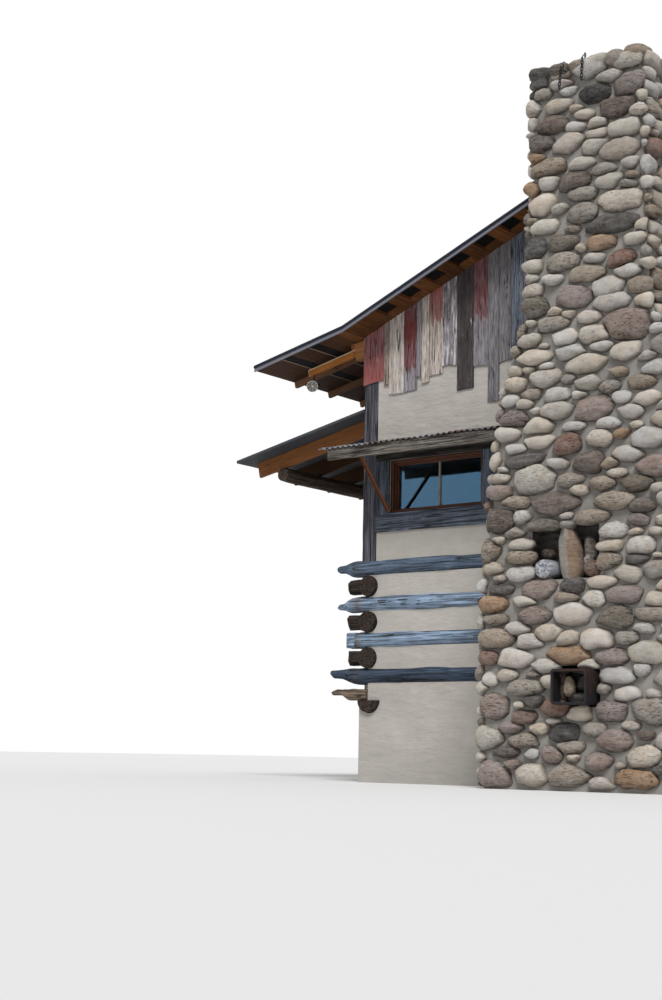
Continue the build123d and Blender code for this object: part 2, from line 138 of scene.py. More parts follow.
def object_place(tree):
    """The place on the object."""
    return place(tree, "TexCoord")["Object"]


def stored(tree, name, output="Fac"):
    """A value stored on the points."""
    return place(tree, "Attribute", attribute_name=name)[output]


def stretched(spot, scale):
    """A place scaled along its axes."""
    return place(tree_of(spot), "Mapping", {"Vector": spot, "Scale": scale})


def noise(spot, scale, detail, **more):
    """Cloudy noise at a place; a seed, W, picks another cloud."""
    inputs = {"Vector": spot, "Scale": scale, "Detail": detail, **more}
    return place(tree_of(spot), "TexNoise", inputs, noise_dimensions="4D" if "W" in more else "3D")["Fac"]


def finish(name, roughness):
    """A new material with its tree and shader."""
    made = bpy.data.materials.new(name)
    made.use_nodes = True
    shader = made.node_tree.nodes["Principled BSDF"]
    shader.inputs["Roughness"].default_value = roughness
    if roughness > 0.55:
        shader.inputs["Specular IOR Level"].default_value = 0.2
    return made, made.node_tree, shader


def shared_effect(name, inputs, outputs):
    """An empty node group with named number inputs and outputs, and its two end nodes."""
    tree = bpy.data.node_groups.new(name, "ShaderNodeTree")
    for label, kind, start in inputs:
        socket = tree.interface.new_socket(label, in_out="INPUT", socket_type="NodeSocket" + kind)
        if start is not None:
            socket.default_value = start
    for label, kind in outputs:
        tree.interface.new_socket(label, in_out="OUTPUT", socket_type="NodeSocket" + kind)
    return tree, Value(tree.nodes.new("NodeGroupInput").outputs[0]), tree.nodes.new("NodeGroupOutput")


def use(tree, effect, **inputs):
    """Places a shared effect in a material."""
    made = tree.nodes.new("ShaderNodeGroup")
    made.node_tree = effect
    for key, value in inputs.items():
        feed(made, value, key.replace("_", " "))
    return Value(made.outputs[0])


def make_patches():
    """Soft patches of a given size, and fine grit over them."""
    tree, given, result = shared_effect(
        "patches", [("Place", "Vector", None), ("Size", "Float", 0.5), ("Seed", "Float", 0.0)],
        [("Patch", "Float"), ("Grit", "Float")])
    scale = 1.0 / given["Size"]
    big = noise(given["Place"], scale, 5.0, Roughness=0.6, W=given["Seed"])
    fine = noise(given["Place"], scale * 24.0, 3.0)
    feed(result, ramp(big, (0.36, 0.0), (0.64, 1.0)), "Patch")
    feed(result, fine, "Grit")
    return tree


def relief(shader, height, depth):
    """Small relief on a surface, in metres."""
    bump = {"Height": height, "Distance": depth, "Strength": 1.0}
    feed(shader, place(tree_of(height), "Bump", bump), "Normal")


def dress(material, *nodes):
    """Gives CAD nodes their finish."""
    for node in nodes:
        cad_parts[node].data.materials.clear()
        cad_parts[node].data.materials.append(material)


def make_stucco():
    """Blotchy trowelled stucco, darker grey towards its foot."""
    made, tree, shader = finish("stucco", 0.92)
    spot = object_place(tree)
    wide = use(tree, patches, Place=spot, Size=0.9)
    small = use(tree, patches, Place=spot, Size=0.16, Seed=3.0)
    height = place(tree, "SeparateXYZ", {"Vector": spot})["Z"]
    low_band = ramp(height + wide["Patch"] * 0.18, (0.1, 1.0), (0.62, 0.0))
    colour = blend(wide["Patch"] * 0.55, stucco_colour, stucco_pale_colour)
    colour = blend(small["Patch"] * 0.22, colour, stucco_dark_colour)
    colour = blend(low_band * 0.5, colour, stucco_dark_colour)
    feed(shader, colour)
    trowel = stretched(spot, (1.0, 1.0, 2.6))
    swirl = use(tree, patches, Place=trowel, Size=0.22, Seed=7.0)
    relief(shader, swirl["Patch"] + swirl["Grit"] * 0.5, 0.006)
    return made


patches = make_patches()
dress(make_stucco(), "foundation", "gable_chinking", "side_chinking", "lower_walls", "window_piers",
      "gable_walls", "side_walls")

# Logs
# Peeled tree trunks, weathered grey on the gables, with a blue cast of sky shade painted into that grey,
# and dark brown where the side logs show their ends. The gable logs run past the corners, hewn down to
# rough tongues.
wall_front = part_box("foundation")[0].y
wall_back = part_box("foundation")[1].y
middle_y = (wall_front + wall_back) / 2
half_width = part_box("foundation")[1].x
log_rise = 0.368
top_log_height = 2.175
gable_log_radius = 0.085
gable_log_y = wall_front + 0.05
side_log_radius = 0.108
side_log_x = -half_width + side_log_radius
side_sill_radius = 0.13
sill_height = 0.825
# End past the corner, full round past it, tongue radius, tongue's shift up, colour
gable_log_rows = [
    (0.333, 0.130, 0.036, 0.25, "blue_grey"), (0.325, 0.160, 0.032, -0.15, "pale_grey"),
    (0.160, 0.160, 0.072, 0.0, "pale_grey"), (0.400, 0.120, 0.044, 0.55, "dark_grey")]
squared_row, squared_length, squared_width = 2, 0.105, 0.158
stained_rows, stain_distance, stain_spread = (1, 2), 0.035, 0.045
# The sill's split end: distances from its tip with the heights of its underside and of its top
sill_end_under = [(0, 0.086), (0.012, 0.056), (0.150, 0.052), (0.230, 0.0), (0.470, 0.0)]
sill_end_over = [(0, 0.092), (0.040, 0.112), (0.470, 0.118)]
sill_end_width, sill_end_reach = 0.160, 0.370
# How far the squared corner blocks reach out of the side wall, into it and past the gable wall
block_out, block_in, block_past_gable = 0.15, 0.07, 0.02
block_deep, block_width, block_height = 0.16, 0.158, 0.148
# Painted shade: the three gable greys hold a blue cast of sky shade over the logs' own weathered grey
log_colours = {
    "blue_grey": (0.104, 0.142, 0.198), "pale_grey": (0.225, 0.300, 0.405),
    "dark_grey": (0.052, 0.074, 0.112), "brown": (0.046, 0.032, 0.025), "old_brown": (0.155, 0.115, 0.085),
    "porch_brown": (0.07, 0.048, 0.036)}


def together(*parts):
    """Arrays spread to one shape, side by side along a new last axis."""
    return np.stack(np.broadcast_arrays(*parts), -1)


def grid(first, second):
    """Two rows of values spread over a grid, each along its own axis."""
    return np.meshgrid(first, second, indexing="ij")


def circle(count):
    """Angles spaced evenly round a circle."""
    return np.arange(count) * math.tau / count


def squared_off(values, power):
    """Values raised to a power with their signs kept."""
    return np.sign(values) * np.abs(values) ** power


def lattice(cells, seed):
    """A repeatable random number, -1 to 1, for each whole-number cell."""
    c = cells.astype(np.int64).astype(np.uint64)
    mixed = c[..., 0] * np.uint64(73856093) ^ c[..., 1] * np.uint64(19349663)
    mixed ^= c[..., 2] * np.uint64(83492791) ^ np.uint64(int(seed * 1013) + 7919)
    mixed ^= mixed >> np.uint64(13)
    mixed *= np.uint64(0x9E3779B97F4A7C15)
    mixed ^= mixed >> np.uint64(29)
    return (mixed & np.uint64(0xFFFFF)).astype(float) / 0x7FFFF - 1


def lumps(points, size, seed=0):
    """Smooth noise, -1 to 1, at each point, with bumps of the given size."""
    p = np.asarray(points, float) / size + 31.7
    cell = np.floor(p)
    f = p - cell
    f = f * f * (3 - 2 * f)
    total = np.zeros(p.shape[:-1])
    for corner in np.ndindex(2, 2, 2):
        step = np.array(corner)
        weight = np.prod(np.where(step == 1, f, 1 - f), axis=-1)
        total += weight * lattice(cell + step, seed)
    return total


class Pieces:
    """Like pieces gathered into one object, with grain, seed, colour and mark on every point."""

    def __init__(self):
        self.points, self.faces, self.grain = [], [], []
        self.seeds, self.colours, self.marks = [], [], []
        self.count = 0

    def add(self, points, faces, grain=None, seed=0.0, colour=(1, 1, 1), mark=0.0, flip=False, alpha=1.0):
        """Adds one piece, in one colour or one for each point. Flip turns its faces over."""
        number = len(points)
        self.points.append(np.asarray(points, float))
        self.faces += [tuple(self.count + i for i in (face[::-1] if flip else face)) for face in faces]
        self.grain.append(np.asarray(points if grain is None else grain, float))
        self.seeds.append(np.full(number, float(seed)))
        self.colours.append(np.insert(np.broadcast_to(colour, (number, 3)), 3, alpha, axis=1))
        self.marks.append(np.broadcast_to(mark, (number,)))
        self.count += number

    def make(self, name, material, slot, *nodes, sharp=40):
        """The finished object, riding on the frame in place of its CAD nodes."""
        mesh = bpy.data.meshes.new(name)
        mesh.from_pydata(np.concatenate(self.points).tolist(), [], self.faces)
        for label, kind, key, values in (
                ("grain", "FLOAT_VECTOR", "vector", self.grain), ("seed", "FLOAT", "value", self.seeds),
                ("colour", "FLOAT_COLOR", "color", self.colours), ("mark", "FLOAT", "value", self.marks)):
            layer = mesh.attributes.new(label, kind, "POINT")
            layer.data.foreach_set(key, np.concatenate(values).astype(np.float32).ravel())
        mesh.polygons.foreach_set("use_smooth", [True] * len(mesh.polygons))
        mesh.set_sharp_from_angle(angle=math.radians(sharp))
        mesh.materials.append(material)
        made = bpy.data.objects.new(name, mesh)
        bpy.context.scene.collection.objects.link(made)
        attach(made, "root")
        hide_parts(*nodes)
        return made


def ring_faces(count, around):
    """Faces between rings of points that follow each other."""
    return [(i * around + j, i * around + (j + 1) % around, (i + 1) * around + (j + 1) % around,
             (i + 1) * around + j) for i in range(count - 1) for j in range(around)]


def skin(rings, grain=None):
    """Points, faces and any grain of a skin over rings of points, closed at both ends."""
    count, around = rings.shape[:2]
    faces, last = ring_faces(count, around), (count - 1) * around
    for j in range(around):
        after = (j + 1) % around
        faces += [(after, j, count * around), (last + j, last + after, count * around + 1)]
    points = [np.vstack([part.reshape(-1, 3), part[0].mean(0), part[-1].mean(0)])
              for part in (rings, grain) if part is not None]
    return points[0], faces, *points[1:]


def axes_along(start, end, up):
    """Length and unit directions along a piece, across it and up."""
    run = np.subtract(end, start)
    length = np.linalg.norm(run)
    along = run / length
    across = np.cross(along, up)
    across /= np.linalg.norm(across)
    return length, along, across, np.cross(across, along)


def log(start, end, radius, seed, lumpy=0.007, shift=None, around=26, step=0.11):
    """A peeled log; radius and shift may be functions of the distance along it."""
    upright = abs(end[2] - start[2]) > 0.9 * math.dist(start, end)
    length, along, across, up = axes_along(start, end, (0, 1, 0) if upright else (0, 0, 1))
    spots = np.linspace(0, length, max(4, int(length / step)))
    if callable(radius):
        ends = np.array([0.01, 0.03, 0.06, 0.10, 0.15, 0.2, 0.25, 0.3, 0.36, 0.42, 0.5])
        spots = np.unique(np.concatenate([[0, length], ends, length - ends, spots[4:-4]]))
        size = np.array([radius(d) for d in spots])
    else:
        size = np.full(len(spots), radius)
        size[[0, -1]] -= 0.006
    rise = np.zeros(len(spots)) if shift is None else np.array([shift(d) for d in spots])
    d, a = grid(spots, circle(around))
    flow = together(d * 0.8 + seed * 3, np.cos(a) * 0.2, np.sin(a) * 0.2)
    width = size[:, None] + lumps(flow, 0.32, seed) * lumpy + lumps(flow, 0.09, seed + 1) * lumpy * 0.35
    width = np.minimum(width, size[:, None] * 1.08 + 0.004)
    sx, sy = width * np.cos(a), width * np.sin(a) + rise[:, None]
    rings = np.asarray(start) + d[..., None] * along + sx[..., None] * across + sy[..., None] * up
    return skin(rings, together(d + seed * 7.3, sx, sy))


def make_wood_figure():
    """Growth rings, long fibres and drying cracks, from the grain stored on the points."""
    tree, given, result = shared_effect(
        "wood_figure", [("Ring", "Float", 0.012), ("Fibre Width", "Float", 0.006),
                        ("Crack Share", "Float", 0.3)], [("Rings", "Float"), ("Fibre", "Float"),
                                                         ("Cracks", "Float"), ("Patch", "Float"),
                                                         ("Height", "Float")])
    grain = stored(tree, "grain", "Vector")
    seed = stored(tree, "seed")
    warp = noise(stretched(grain, (1.2, 9.0, 9.0)), 1.0, 2.0, W=seed)
    section = stretched(grain, (0.0, 1.0, 1.0))
    distance = place(tree, "VectorMath", {0: section}, operation="LENGTH")["Value"]
    rings = maths("PINGPONG", distance + warp * 0.05, given["Ring"]) / given["Ring"]
    thin = 1.0 / given["Fibre Width"]
    fibre = noise(stretched(grain, (0.035, 1.0, 1.0)), thin, 4.0, Roughness=0.65, W=seed)
    split = noise(stretched(grain, (0.7, 20.0, 20.0)), 1.0, 2.0, W=seed + 5.0)
    line = ramp(abs(split - 0.5), (0.0, 1.0), (0.02, 0.0))
    patch = use(tree, patches, Place=grain, Size=0.35, Seed=seed)["Patch"]
    share = maths("LESS_THAN", 1.0 - patch, given["Crack Share"])
    cracks = line * maths("MAXIMUM", share, 0.25)
    height = fibre * 0.6 + rings * 0.25 - cracks * 1.6
    for label, value in (
            ("Rings", rings), ("Fibre", fibre), ("Cracks", cracks), ("Patch", patch), ("Height", height)):
        feed(result, value, label)
    return tree


def make_wood(name, roughness=0.85, depth=0.003, light=1.5, dark=0.42, ring=0.012, fibre=0.006,
              crack_share=0.35, rings_show=0.25, patchy=0.35):
    """Weathered wood that takes its colour from the piece."""
    made, tree, shader = finish(name, roughness)
    colour = stored(tree, "colour", "Color")
    grain = stored(tree, "grain", "Vector")
    figure = use(tree, wood_figure, Ring=ring, Fibre_Width=fibre, Crack_Share=crack_share)
    pale = tinted(colour, (light, light, light))
    deep = tinted(colour, (dark, dark * 0.96, dark * 0.93))
    streak = ramp(figure["Fibre"], (0.38, 0.0), (0.62, 1.0))
    base = blend(streak, deep, pale)
    base = blend(figure["Patch"] * patchy, base, colour)
    worn = use(tree, patches, Place=grain, Size=0.16, Seed=4.0)["Patch"]
    base = blend(worn * (patchy * 0.8), base, deep)
    base = blend(figure["Rings"] * rings_show, base, deep)
    base = blend(figure["Cracks"], base, (0.012, 0.01, 0.009))
    feed(shader, base)
    relief(shader, figure["Height"], depth)
    return made


def gable_log_radius_at(distance, length, row):
    """Radius of a gable log, hewn down past each corner."""
    tail, full, tongue = row[:3]
    past = min(distance, length - distance)
    if full >= tail:
        return gable_log_radius - (0.008 if past < 0.012 else 0)
    places = [0, 0.03, tail - full - (tail - full) * 0.45, tail - full, tail - full + 0.06]
    sizes = [tongue * 0.6, tongue, tongue * 1.15, gable_log_radius * 0.9, gable_log_radius]
    return float(np.interp(past, places, sizes))


def split_end(side, y, seed):
    """The sill's end past a corner, split away underneath."""
    spots = (0, 0.012, 0.03, 0.06, 0.09, 0.12, 0.15, 0.18, 0.205, 0.23, 0.27, 0.31, 0.37, 0.42, 0.47)
    under, over = (np.interp(spots, *zip(*line)) for line in (sill_end_under, sill_end_over))
    wide = sill_end_width / 2 * np.interp(spots, (0, 0.05, 0.2), (0.55, 0.85, 1.0))
    angle = circle(20)
    across, up = (squared_off(v, 0.55) for v in (np.cos(angle), np.sin(angle)))
    ys = wide[:, None] * across
    zs = ((over + under) / 2)[:, None] + ((over - under) / 2)[:, None] * up
    grain = together(np.broadcast_to(np.array(spots)[:, None], ys.shape) + seed, ys, zs)
    bump = 1 + lumps(grain, 0.06, seed) * 0.07 + lumps(grain, 0.02, seed + 1) * 0.03
    rings = together(
        side * (half_width + sill_end_reach - grain[..., 0] + seed), y + ys * bump, sill_height + zs * bump)
    return skin(rings, grain)


def make_gable_logs():
    """Eight long gable logs, one pair squared at its ends, and the four split sill ends under them."""
    grey = Pieces()
    for wall, y in enumerate((gable_log_y, 2 * middle_y - gable_log_y)):
        for i, row in enumerate(gable_log_rows):
            z, colour, tip = top_log_height - i * log_rise, log_colours[row[4]], half_width + row[0]
            reach = tip
            if i == squared_row:
                reach = tip - (squared_length - 0.01)
                for side in (-1, 1):
                    grey.add(*timber((side * (reach - 0.01), y, z), (side * tip, y, z), squared_width,
                                     squared_width, seed=15 + side + wall, wear=0.012, rough=0.005,
                                     step=0.02, worn_ends=0.006), 15 + side, colour)

            def radius(distance):
                return gable_log_radius_at(distance, 2 * reach, row)

            def shift(distance):
                return (gable_log_radius - radius(distance)) * row[3]

            points, faces, grain = log((-reach, y, z), (reach, y, z), radius, i + 5 * wall, 0.014, shift)
            past = np.abs(points[:, 0]) - half_width + 0.04 * lumps(points, 0.08, i)
            stain = np.exp(-((past - stain_distance) / stain_spread) ** 2)[:, None]
            stain *= 0.75 if i in stained_rows else 0.25
            colour = np.array(colour) * (1 - stain) + np.array(log_colours["old_brown"]) * stain
            grey.add(points, faces, grain, i + 5 * wall, colour)
        for side in (-1, 1):
            grey.add(
                *split_end(side, y, 20 + side + wall), 20 + side, log_colours["old_brown"], flip=side > 0)
    grey.make("gable_log_set", weathered_log, "grey_log", "gable_logs")


def make_side_logs():
    """Side logs whose cut ends show beside the gable logs, and the half-round sills."""
    (low, high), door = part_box("side_logs"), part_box("door_frame")
    whole, parted = [(low.y, high.y)], [(low.y, door[0].y), (door[1].y, high.y)]
    brown, sills = Pieces(), Pieces()
    for side in (-1, 1):
        for i in range(3):
            x, z = side * abs(side_log_x), top_log_height - (i + 0.5) * log_rise
            for y0, y1 in parted if side < 0 and z < door[1].z else whole:
                brown.add(*log((x, y0, z), (x, y1, z), side_log_radius, 30 + i + 4 * side, 0.008), 30 + i,
                          log_colours["brown"])
        x, z = side * (half_width - side_sill_radius), sill_height
        for y0, y1 in parted if side < 0 else whole:
            points, faces, grain = log((x, y0, z), (x, y1, z), side_sill_radius, 40 + side, 0.006)
            points[:, 2] = np.minimum(points[:, 2], z - 0.001)
            sills.add(points, faces, grain, 40 + side, log_colours["brown"])
    brown.make("side_log_set", rough_log, "brown_log", "side_logs")
    sills.make("side_sill_set", rough_log, "brown_log", "side_sills")


def timber(
        start, end, width, thick, up=(0, 0, 1), seed=0, wear=0.006, rough=0.0015, step=0.12, worn_ends=0.0):
    """A sawn timber from start to end, with worn arrises; thick is its size along up."""
    length, along, across, up = axes_along(start, end, up)
    d = np.linspace(0, length, max(3, int(length / step) + 1))[:, None]
    w, t, c = width / 2, thick / 2, min(wear, width / 4, thick / 4)
    outline = np.array(
        [(-w + c, -t), (-w / 3, -t), (w / 3, -t), (w - c, -t), (w, -t + c), (w, t - c), (w - c, t),
         (w / 3, t), (-w / 3, t), (-w + c, t), (-w, t - c), (-w, -t + c)])
    flow = together(d * 0.5 + seed * 3.7, *outline.T * 1.5)
    wave = lumps(flow, 0.06, seed) * rough
    nibble = np.maximum(0, lumps(flow, 0.035, seed + 9) - 0.25) * wear
    corner = np.array([1, 0, 0, 1, 1, 1, 1, 0, 0, 1, 1, 1])
    outward = outline / np.linalg.norm(outline, axis=-1, keepdims=True)
    sides = outline + outward * (wave - nibble * corner)[..., None]
    if worn_ends:
        inwards = (d < 1e-6) * 1.0 - (d > length - 1e-6) * 1.0
        d = d + lumps(flow + 5, 0.05, seed + 4) * worn_ends * inwards
    rings = np.asarray(start) + d[..., None] * along + sides[..., 0:1] * across + sides[..., 1:2] * up
    grain = together(d + seed * 7.3, sides[..., 0], sides[..., 1] + 0.12 + 0.05 * math.sin(seed))
    return skin(rings, grain)


def make_corner_blocks():
    """Squared brown blocks beside the side logs' ends."""
    blocks = Pieces()
    seed = 50
    for y in (wall_front - block_past_gable, wall_back + block_past_gable - block_deep):
        y += block_deep / 2
        for side in (-1, 1):
            for i in range(3):
                z = top_log_height - (i + 0.5) * log_rise
                start, end = side * (half_width + block_out), side * (half_width - block_in)
                blocks.add(*timber((start, y, z), (end, y, z), block_width, block_height, seed=seed,
                                   wear=0.04, rough=0.010, step=0.025, worn_ends=0.02), seed,
                           [c * 0.8 for c in log_colours["brown"]])
                seed += 1
    blocks.make("corner_block_set", rough_log, "brown_log", "corner_blocks")


wood_figure = make_wood_figure()
weathered_log = make_wood(
    "weathered_log", depth=0.008, light=1.85, dark=0.22, fibre=0.018, crack_share=0.5, rings_show=0.2)
rough_log = make_wood(
    "rough_log", depth=0.010, light=2.1, dark=0.25, fibre=0.014, crack_share=0.8, rings_show=0.5)
make_gable_logs()
make_side_logs()
make_corner_blocks()

# Corner posts and window boards
# Rough-sawn timbers weathered grey: a post at each corner from the top log to the eave, and the boards
# nailed round the gable windows.
post_size = 0.19
post_colour = (0.072, 0.071, 0.085)
# Painted shade: the window boards hold a blue cast of sky shade over their weathered grey
window_board_colour, head_board_shadow_colour = (0.088, 0.104, 0.135), (0.040, 0.035, 0.030)
window_sill, window_height, window_width, window_offset = 2.730, 0.550, 1.120, 0.920
window_head = window_sill + window_height
window_centre = half_width - window_offset
jamb_width, sill_board_height, head_board_height, board_out, sill_lip = 0.165, 0.175, 0.08, 0.026, 0.014
# Where the boards under the windows end, from the middle: at the chimney in front, nearly met behind
sill_board_stops = {-1: 1.07, 1: 0.1}


def four_corners():
    """Sign of X and of Y for each corner, and the gable wall's plane there."""
    for end, y in ((-1, wall_front), (1, wall_back)):
        for side in (-1, 1):
            yield side, end, y


def make_posts():
    """The four corner posts."""
    posts = Pieces()
    low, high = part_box("corner_posts")
    for n, (side, end, y) in enumerate(four_corners()):
        x, y = side * (half_width - post_size / 2), y - end * post_size / 2
        posts.add(*timber((x, y, low.z), (x, y, high.z), post_size, post_size, (0, 1, 0), seed=60 + n,
                          wear=0.012, rough=0.004), 60 + n, post_colour)
    posts.make("corner_post_set", sawn_timber, "post_timber", "corner_posts")


def make_window_boards():
    """Sill, lip, jamb and head boards on the face of the wall."""
    boards = Pieces()
    outer, lip_top, half = half_width - post_size, window_sill - sill_lip, jamb_width / 2
    inner = 2 * window_centre - outer
    below, lip, above = (
        lip_top - sill_board_height / 2, window_sill - sill_lip / 2, window_head + head_board_height / 2)
    seed = 70
    for side, end, wall in four_corners():
        for x0, z0, x1, z1, wide, proud, tint in (
                (outer, below, sill_board_stops[end], below, sill_board_height, 0.0, window_board_colour),
                (outer - jamb_width, lip, inner + jamb_width, lip, sill_lip, sill_lip, window_board_colour),
                (outer - half, lip_top, outer - half, window_head, jamb_width, 0.0, window_board_colour),
                (inner + half, lip_top, inner + half, window_head, jamb_width, 0.0, window_board_colour),
                # The head board's near-black is painted shade from the awning over it
                (outer, above, inner, above, head_board_height, 0.0, head_board_shadow_colour)):
            y = wall + end * board_out / 2 + end * proud / 2
            boards.add(*timber((side * x0, y, z0), (side * x1, y, z1), wide, board_out + proud,
                               (0, end, 0), seed, 0.005, 0.0025), seed, tint)
            seed += 1
    boards.make("window_board_set", sawn_timber, "post_timber", "window_boards")


sawn_timber = make_wood(
    "sawn_timber", depth=0.004, light=2.5, dark=0.14, fibre=0.019, crack_share=0.5, rings_show=0.3)
make_posts()
make_window_boards()

# Windows
# Fixed two-light windows: a rust-brown wooden frame stepped back in three ribs, a light mullion and
# plain glass.
frame_brown, frame_shadow, mullion_cream = (0.14, 0.052, 0.026), (0.035, 0.018, 0.012), (0.33, 0.30, 0.25)
mullion_width = 0.022
# Each rib's setting back from the wall, length into the wall, width and colour
frame_steps = [
    (0.002, 0.010, 0.012, frame_shadow), (0.012, 0.022, 0.026, frame_brown),
    (0.034, 0.010, 0.030, frame_shadow), (0.044, 0.020, 0.038, frame_brown),
    (0.064, 0.008, 0.042, frame_shadow), (0.072, 0.034, 0.050, frame_brown)]


def make_window_frames():
    """Four stepped frames, each with its mullion."""
    frames = Pieces()
    left, right = window_centre - window_width / 2, window_centre + window_width / 2
    for n, (side, end, wall) in enumerate(four_corners()):
        for step in frame_steps:
            depth, length, member, colour = step
            y, half = wall - end * (depth + length / 2), member / 2
            bars = [(left + half, window_sill, left + half, window_head, member, colour),
                    (right - half, window_sill, right - half, window_head, member, colour),
                    (left, window_sill + half, right, window_sill + half, member, colour),
                    (left, window_head - half, right, window_head - half, member, colour)]
            if step == frame_steps[-1]:
                bars.append((window_centre, window_sill + member, window_centre, window_head - member,
                             mullion_width, mullion_cream))
            for k, (x0, z0, x1, z1, wide, tint) in enumerate(bars):
                up = (0, 0, 1) if z0 == z1 else (1, 0, 0)
                frames.add(*timber((side * x0, y, z0), (side * x1, y, z1), length, wide, up,
                                   200 + 10 * n + k, 0.002, 0.0004, 0.3), 200 + k, tint)
    frames.make("window_frame_set", stained_frame, "brown_frame", "window_frames")


def make_glass():
    """Window glass with a painted blue reflection of sky."""
    made, tree, shader = finish("window_glass", 0.03)
    # Painted reflection: the blue base, blue specular tint and raised IOR paint a blue sky reflection into
    # the glass
    shader.inputs["Base Color"].default_value = (0.80, 0.90, 0.95, 1)
    shader.inputs["Specular Tint"].default_value = (0.26, 0.60, 1.0, 1)
    shader.inputs["Transmission Weight"].default_value = 1.0
    shader.inputs["IOR"].default_value = 2.0
    return made


stained_frame = make_wood(
    "stained_frame", roughness=0.6, depth=0.0006, light=1.3, dark=0.6, crack_share=0.1)
make_window_frames()
dress(make_glass(), "window_glass")

# Roof framing and boards
# Oiled pine: orange-brown roof boards that show under the overhangs, rafters, ridge beam and wall
# plates, all left open to the room.
pine = (0.27, 0.105, 0.032)
deep_pine = (0.10, 0.038, 0.015)
gold_pine, tail_pine, fresh_edge = (0.46, 0.175, 0.038), (0.24, 0.12, 0.060), (0.66, 0.52, 0.36)
block_pine, plate_width = (0.40, 0.18, 0.07), 0.14
# Height of the boards' underside over the side wall, and how fast it rises inward and falls outward
eave_line, main_pitch, eave_pitch = 4.631, 0.4125, 0.222
rafter_width, rafter_depth, rafter_foot, rafter_spacing = 0.045, 0.136, 2.98, 0.6
first_rafter, rafter_to_gable, tail_depth = 0.3, 0.12, 0.070
end_rafter_depth, end_rafter_reach, end_rafter_start, end_rafter_foot = 0.072, 0.757, 0.13, 0.15
strip_depth, strip_width, eave_block_width, eave_block_height = 0.016, 0.050, 0.09, 0.19
eave_slots, slot_width = (3.535, 3.895), 0.12
# Where the soffit boards end, from the middle: in the chimney in front, at the ridge behind
soffit_stops = {-1: 0.655, 1: 0.012}
vent_start, vent_spacing, vent_width, vent_depth, vent_from_wall = 0.404, 0.300, 0.120, 0.185, 0.155
vent_margin, soffit_thickness = 0.022, 0.036


def make_roof_boards():
    """Roof boards laid along the ridge, each its own tint, seen from below."""
    made, tree, shader = finish("roof_boards", 0.7)
    spot = object_place(tree)
    parts = place(tree, "SeparateXYZ", {"Vector": spot})
    across = parts["X"] / 0.135
    number = maths("FLOOR", across)
    tint = place(tree, "TexWhiteNoise", {"W": number}, noise_dimensions="1D")["Value"]
    joint = ramp(abs(maths("FRACT", across) - 0.5), (0.47, 0.0), (0.492, 1.0))
    grain = noise(stretched(spot, (9.0, 0.5, 9.0)), 9.0, 4.0)
    colour = blend(tint, pine, deep_pine)
    colour = blend(ramp(grain, (0.4, 0.0), (0.7, 0.6)), colour, deep_pine)
    far = abs(parts["X"])
    outer = ramp(far / 5.0, (0.6, 0.0), (0.68, 0.85))
    colour = blend(outer, colour, (0.046, 0.02, 0.01))
    colour = blend(joint, colour, (0.02, 0.012, 0.008))
    for middle in eave_slots:
        gap = far - middle
        slot = maths("LESS_THAN", abs(gap), slot_width / 2)
        edge = place(tree, "Math", {0: gap, 1: slot_width / 2 + 0.009, 2: 0.007}, operation="COMPARE")
        colour = blend(slot, colour, (0.004, 0.003, 0.003))
        colour = blend(edge * 0.35, colour, fresh_edge)
    feed(shader, colour)
    relief(shader, grain * 0.3 - joint, 0.004)
    return made


def slope_height(x):
    """Height of the roof boards' underside over a place across the cabin."""
    past = abs(x) - half_width
    return eave_line - (eave_pitch if past > 0 else main_pitch) * past


def evenly(y0, y1, spacing):
    """Centres spread evenly between two ends."""
    count = max(1, round((y1 - y0) / spacing))
    return [y0 + (y1 - y0) * i / count for i in range(count + 1)]


def sloping(pieces, seed, colour, x0, x1, y, low, deep, wide=rafter_width, height_at=slope_height):
    """Adds a rafter between two places across the cabin, its top 'low' under the boards."""
    start, end = ((x, y, height_at(x) - low - deep / 2) for x in (x0, x1))
    pieces.add(*timber(start, end, wide, deep, (0, 0, 1), seed, 0.004, 0.001, 0.3), seed, colour)


def slanting_bar(x0, x1, y0, y1, low, high):
    """A board or strip along the slope between two places across, its ends upright."""
    points = np.array(
        [(x, y, slope_height(x) + rise) for x in (x0, x1) for y in (y0, y1) for rise in (low, high)])
    return points, [(0, 1, 3, 2), (4, 6, 7, 5), (0, 4, 5, 1), (2, 3, 7, 6), (0, 2, 6, 4), (1, 5, 7, 3)]


